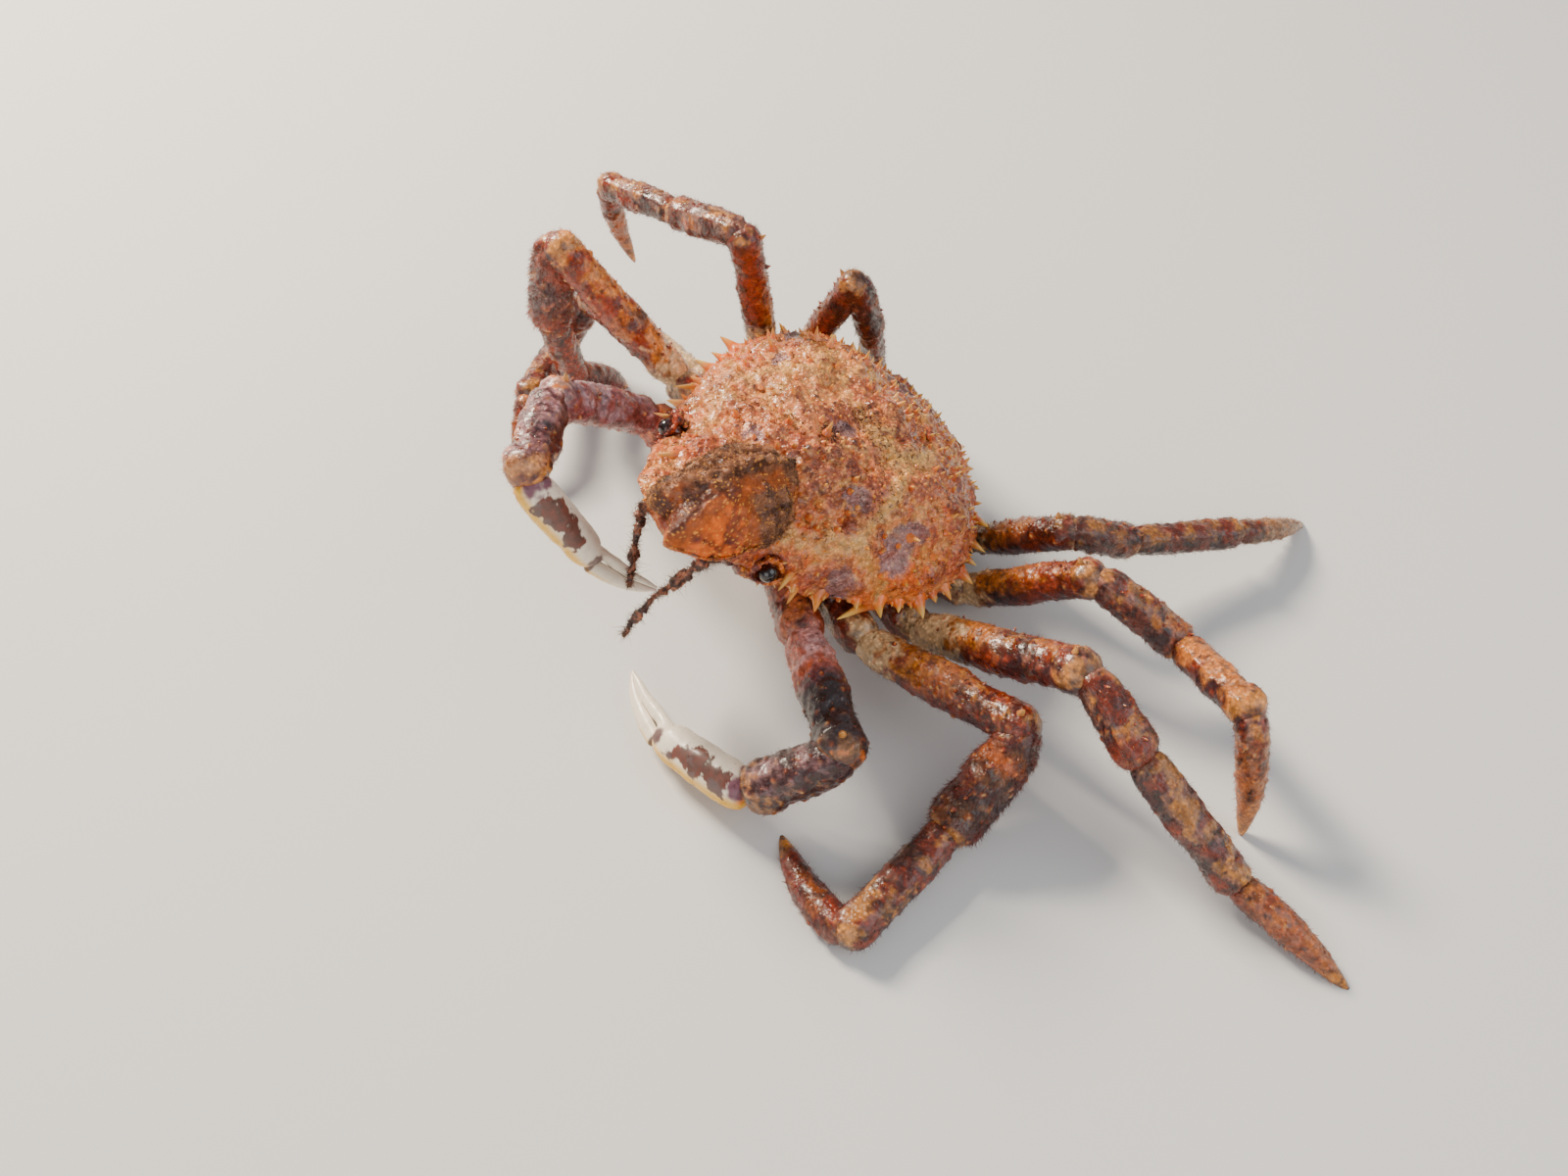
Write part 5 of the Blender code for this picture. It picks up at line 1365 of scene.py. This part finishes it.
def make_feelers(coats):
    for side in ("left", "right"):
        rng = np.random.default_rng(20 if side == "left" else 21)
        stations = np.array(FEELERS[side], float) + SHIFT
        make_feeler_base(side, stations[0])
        length = float(np.linalg.norm(np.diff(stations, axis=0), axis=1).sum())
        rows = int(length / 0.22 * DETAIL)
        key = np.linspace(0, 1, len(stations))
        t = np.linspace(0, 1, rows)
        route = route_along(key, stations, t)
        route += np.stack([line_noise(t * 30, 2.0, 5 + i, i) for i in range(3)], -1) * 0.3
        radii = (0.5 - 0.22 * t) * (1 + 0.5 * np.abs(line_noise(t * length, 1.3, 9)))
        columns = 22
        grid, _ = loft(route, radii, np.array((0.3, 0.2, 1.0)), columns)
        normal = normals_of(grid)
        points = grid.reshape(-1, 3)
        lumps = ramp(rough(points, 1.6, 3, 31), 0.0, 0.8) * 0.75 * np.repeat(ramp(t, 1.02, 0.8), columns)
        points = points + normal.reshape(-1, 3) * lumps[:, None]
        colour = mix(ink(84, 52, 40), ink(164, 112, 84), ramp(rough(points, 0.9, 3, 33), -0.1, 0.6)) * 1.4
        colour = mix(colour, ink(150, 120, 70), ramp(np.repeat(t, columns), 0.93, 1.0))
        surface = Surface()
        grid = points.reshape(grid.shape)
        tints = colour.reshape(grid.shape)
        surface.add_grid(grid, tints)
        surface.make("skin_antenna_" + side, FEELER, "feeler", ["antenna_" + side])
        count = int(FEELER_HAIRS * DETAIL)
        roots, ways, tufts, uv = scatter_on(grid, normal, tints, count, rng)
        run = unit(route[-1] - route[0])
        lie = ways * rng.uniform(0.2, 1, (count, 1)) + run * rng.normal(scale=0.8, size=(count, 1))
        lie = unit(lie + rng.normal(scale=0.3, size=ways.shape))
        sizes = rng.uniform(0.4, 1.1, count) * np.where(rng.random(count) < 0.08, 2.4, 1)
        shade = mix(tufts, ink(128, 84, 64), rng.random(count) * 0.7)
        bristles(coats, roots, lie, sizes, 0.045, shade, uv, rng, 1.1)


def growth_surface(u):
    """Places of the sponge's skin for unit directions, with its rim, lobe and grey patch as masks."""
    flat = u.reshape(-1, 3)
    bearing = np.degrees(np.arctan2(flat[:, 1], flat[:, 0]))
    reach = along(GROWTH_OUTLINE, bearing)
    spread = np.hypot(flat[:, 0], flat[:, 1])
    shape = flat * GROWTH_RADII
    shape[:, :2] *= (1 + (reach - 1) * spread)[:, None]
    x, y = shape[:, 0].copy(), shape[:, 1].copy()
    ridge = bump(x + 2.8 - 0.15 * y, 3.0) * ramp(y, -15, -6)
    peaks = ramp(rough(shape, 4.0, 2, 60), 0.0, 0.7)
    rise = 0.7 * ridge + 1.5 * peaks * ridge * ramp(y, -6, 2) - 1.5 * ramp(x, 1, 9) + 0.5 * peaks
    shape[:, 2] += np.where(flat[:, 2] > 0, rise, 0)
    shape[:, 2] -= 1.6 * ramp(x, 4, 9) * ramp(y, 2, -10)
    rim = np.clip(ridge + ramp(x, -3.5, -6.5) + ramp(y, 8.5, 12.5) * ramp(x, 6, 0), 0, 1)
    lobe = ramp(x + 0.25 * y, 0.4, 3.0) * ramp(y + 0.2 * x, 0.5, -3.5)
    lobe = np.clip(lobe + 0.8 * ramp(shape[:, 2], -0.5, -2.5) * ramp(x, 2, 5), 0, 1)
    patch = ramp(x, 2.0, 5.0) * ramp(y, -1.5, 1.5) * ramp(shape[:, 2], -3.0, -1.0) * ramp(y, 11, 8)
    return shape, rim, lobe, patch


def make_growth(coats):
    rng = np.random.default_rng(30)
    rows, columns = int(170 * DETAIL), int(340 * DETAIL)
    u = ball_grid(rows, columns)
    shape, rim, lobe, patch = growth_surface(u)
    normal = normals_of(shape.reshape(u.shape)).reshape(-1, 3)
    outward = unit(shape / GROWTH_RADII ** 2)
    normal = np.where((normal * outward).sum(1, keepdims=True) < 0, -normal, normal)
    grain, owner = cells(shape, 0.6, 61)
    dots = ramp(grain, 0.38, 0.22) * (owner > 0.55 + 0.25 * noise(shape, 4.0, 65))
    furry = np.clip(rim + patch, 0, 1)
    waves = rough(shape, 2.6, 3, 62)
    lift = waves * (0.25 + 0.2 * furry) + rough(shape, 1.1, 2, 66) * 0.16 * furry + dots * 0.1
    colour = mix(ink(180, 104, 20), ink(118, 62, 22), ramp(rough(shape, 4.0, 3, 63), -0.2, 0.6)) * 1.2
    # The lobe's own orange, strongest on the crests of its waves, with painted shade in the troughs
    colour = mix(colour, SPONGE_ORANGE, lobe * ramp(waves, -1.0, 0.2))
    colour = mix(colour, ink(140, 52, 14), lobe * ramp(waves, 0.0, -0.7) * 0.5)
    grey = mix(ink(160, 120, 92), ink(100, 70, 52), ramp(rough(shape, 1.3, 3, 64), -0.2, 0.5)) * 1.3
    colour = mix(colour, grey, ramp(furry + 0.25 * rough(shape, 2.0, 2, 67), 0.1, 0.8) * 0.85)
    colour = mix(colour, ink(252, 190, 96) * 1.3, dots * (0.85 - 0.35 * furry))
    shape = shape + normal * lift[:, None]
    surface = Surface()
    world = in_world(GROWTH_CENTRE + shape).reshape(u.shape)
    tints = colour.reshape(u.shape)
    surface.add_grid(world, tints, turned=True)
    surface.make("skin_rostrum_sponge", SPONGE, "sponge", ["rostrum_sponge"])
    outward = (normal @ AXES.T).reshape(u.shape)
    count = int(GROWTH_HAIRS * DETAIL)
    weights = (furry.reshape(u.shape[:2]) + 0.04) * np.hypot(u[..., 0], u[..., 1])
    roots, ways, tufts, uv = scatter_on(world, outward, tints, count, rng, weights)
    lie = unit(ways + rng.normal(scale=0.6, size=ways.shape))
    shade = mix(tufts * 1.25, ink(178, 146, 110), rng.random(count) * 0.5)
    bristles(coats, roots, lie, rng.uniform(0.25, 0.65, count), 0.06, shade, uv, rng, 0.6)


def main():
    shell, shell_normals, shell_tints, upper = make_carapace()
    make_spines()
    rng = np.random.default_rng(6)
    body_coat, growth_coat = Surface(), Surface()
    make_orbits(body_coat)
    count = int(SHELL_HAIRS * DETAIL)
    roots, ways, tufts, uv = scatter_on(shell, shell_normals, shell_tints, count, rng, upper + 0.02)
    lie = unit(ways + rng.normal(scale=0.6, size=ways.shape))
    shade = mix(tufts, ink(110, 56, 30), 0.5)
    bristles(body_coat, roots, lie, rng.uniform(0.3, 0.8, count), 0.035, shade, uv, rng)
    count = int(SHELL_TUFTS * DETAIL)
    clumps = upper * (noise(shell.reshape(-1, 3), 5.0, 44).reshape(upper.shape) > 0.05) + 0.05
    roots, ways, tufts, uv = scatter_on(shell, shell_normals, shell_tints, count, rng, clumps)
    lie = unit(ways * 0.45 + rng.normal(scale=0.7, size=ways.shape))
    shade = mix(ink(60, 28, 18), ink(140, 76, 40), rng.random(count))
    bristles(body_coat, roots, lie, rng.uniform(0.35, 1.0, count), 0.1, shade, uv, rng, 0.9)
    make_under_side(body_coat)
    make_eyes()
    make_feelers(body_coat)
    make_growth(growth_coat)
    body_coat.make("bristles_body", BRISTLE, "carapace_shell")
    growth_coat.make("fuzz_sponge", FUZZ, "sponge")
    for side in ("left", "right"):
        coat = Surface()
        for pair in LENGTHS:
            make_limb(side, pair, coat)
        coat.make("bristles_" + side, BRISTLE, "leg_shell")


# The set: the floor, the sky, and the lights with their place, size, power and colour
FLOOR_REACH = 6.0
FLOOR_COLOUR = (0.72, 0.71, 0.69, 1)
FLOOR_ROUGHNESS = 0.7
SKY_COLOUR = (0.92, 0.95, 1.0, 1)
SKY_STRENGTH = 0.45
LIGHTS = (("key", (-0.85, -0.1, 0.7), 0.28, 26.0, (1.0, 0.88, 0.71)),
          ("fill", (0.8, 0.4, 0.7), 0.9, 5.0, (0.95, 0.97, 1.0)),
          ("front", (0.5, -0.9, 0.5), 0.8, 4.0, (1.0, 0.98, 0.95)))
LIT_POINT = Vector((0, 0, 0.02))
# The photo's camera, worked out from the timbers' vanishing points; its place moves with the crab
CAMERA_PLACE = Vector((100, -130, 208))
CAMERA_RIGHT = (0.654, 0.7565, -0.0034)
CAMERA_FORWARD = (-0.4625, 0.3963, -0.7931)
LENS = 27
SENSOR_WIDTH = 36


def make_set():
    """Pale floor, soft light and the camera at the photo's viewing angle."""
    mesh = bpy.data.meshes.new("floor")
    corners = [(x * FLOOR_REACH, y * FLOOR_REACH, 0) for x, y in ((-1, -1), (1, -1), (1, 1), (-1, 1))]
    mesh.from_pydata(corners, [], [(0, 1, 2, 3)])
    floor = bpy.data.objects.new("floor", mesh)
    bpy.context.scene.collection.objects.link(floor)
    paint = bpy.data.materials.new("floor")
    paint.use_nodes = True
    shader = paint.node_tree.nodes["Principled BSDF"]
    shader.inputs["Base Color"].default_value = FLOOR_COLOUR
    shader.inputs["Roughness"].default_value = FLOOR_ROUGHNESS
    mesh.materials.append(paint)

    world = bpy.data.worlds.new("studio")
    world.use_nodes = True
    sky = world.node_tree.nodes["Background"]
    sky.inputs["Color"].default_value = SKY_COLOUR
    sky.inputs["Strength"].default_value = SKY_STRENGTH
    bpy.context.scene.world = world
    for name, place, size, power, colour in LIGHTS:
        light = bpy.data.lights.new(name, "AREA")
        light.energy = power
        light.size = size
        light.color = colour
        lamp = bpy.data.objects.new(name, light)
        lamp.location = place
        lamp.rotation_euler = (LIT_POINT - Vector(place)).to_track_quat("-Z", "Y").to_euler()
        bpy.context.scene.collection.objects.link(lamp)

    camera = bpy.data.cameras.new("camera")
    camera.lens = LENS
    camera.sensor_width = SENSOR_WIDTH
    camera.clip_start = 0.01
    view = bpy.data.objects.new("camera", camera)
    right = Vector(CAMERA_RIGHT).normalized()
    forward = Vector(CAMERA_FORWARD)
    forward = (forward - right * forward.dot(right)).normalized()
    above = right.cross(forward)
    turn = Matrix((right, above, -forward)).transposed().to_4x4()
    view.matrix_world = Matrix.Translation(CAMERA_PLACE * MM + Vector(SHIFT) * MM) @ turn
    bpy.context.scene.collection.objects.link(view)
    bpy.context.scene.camera = view


main()
make_set()
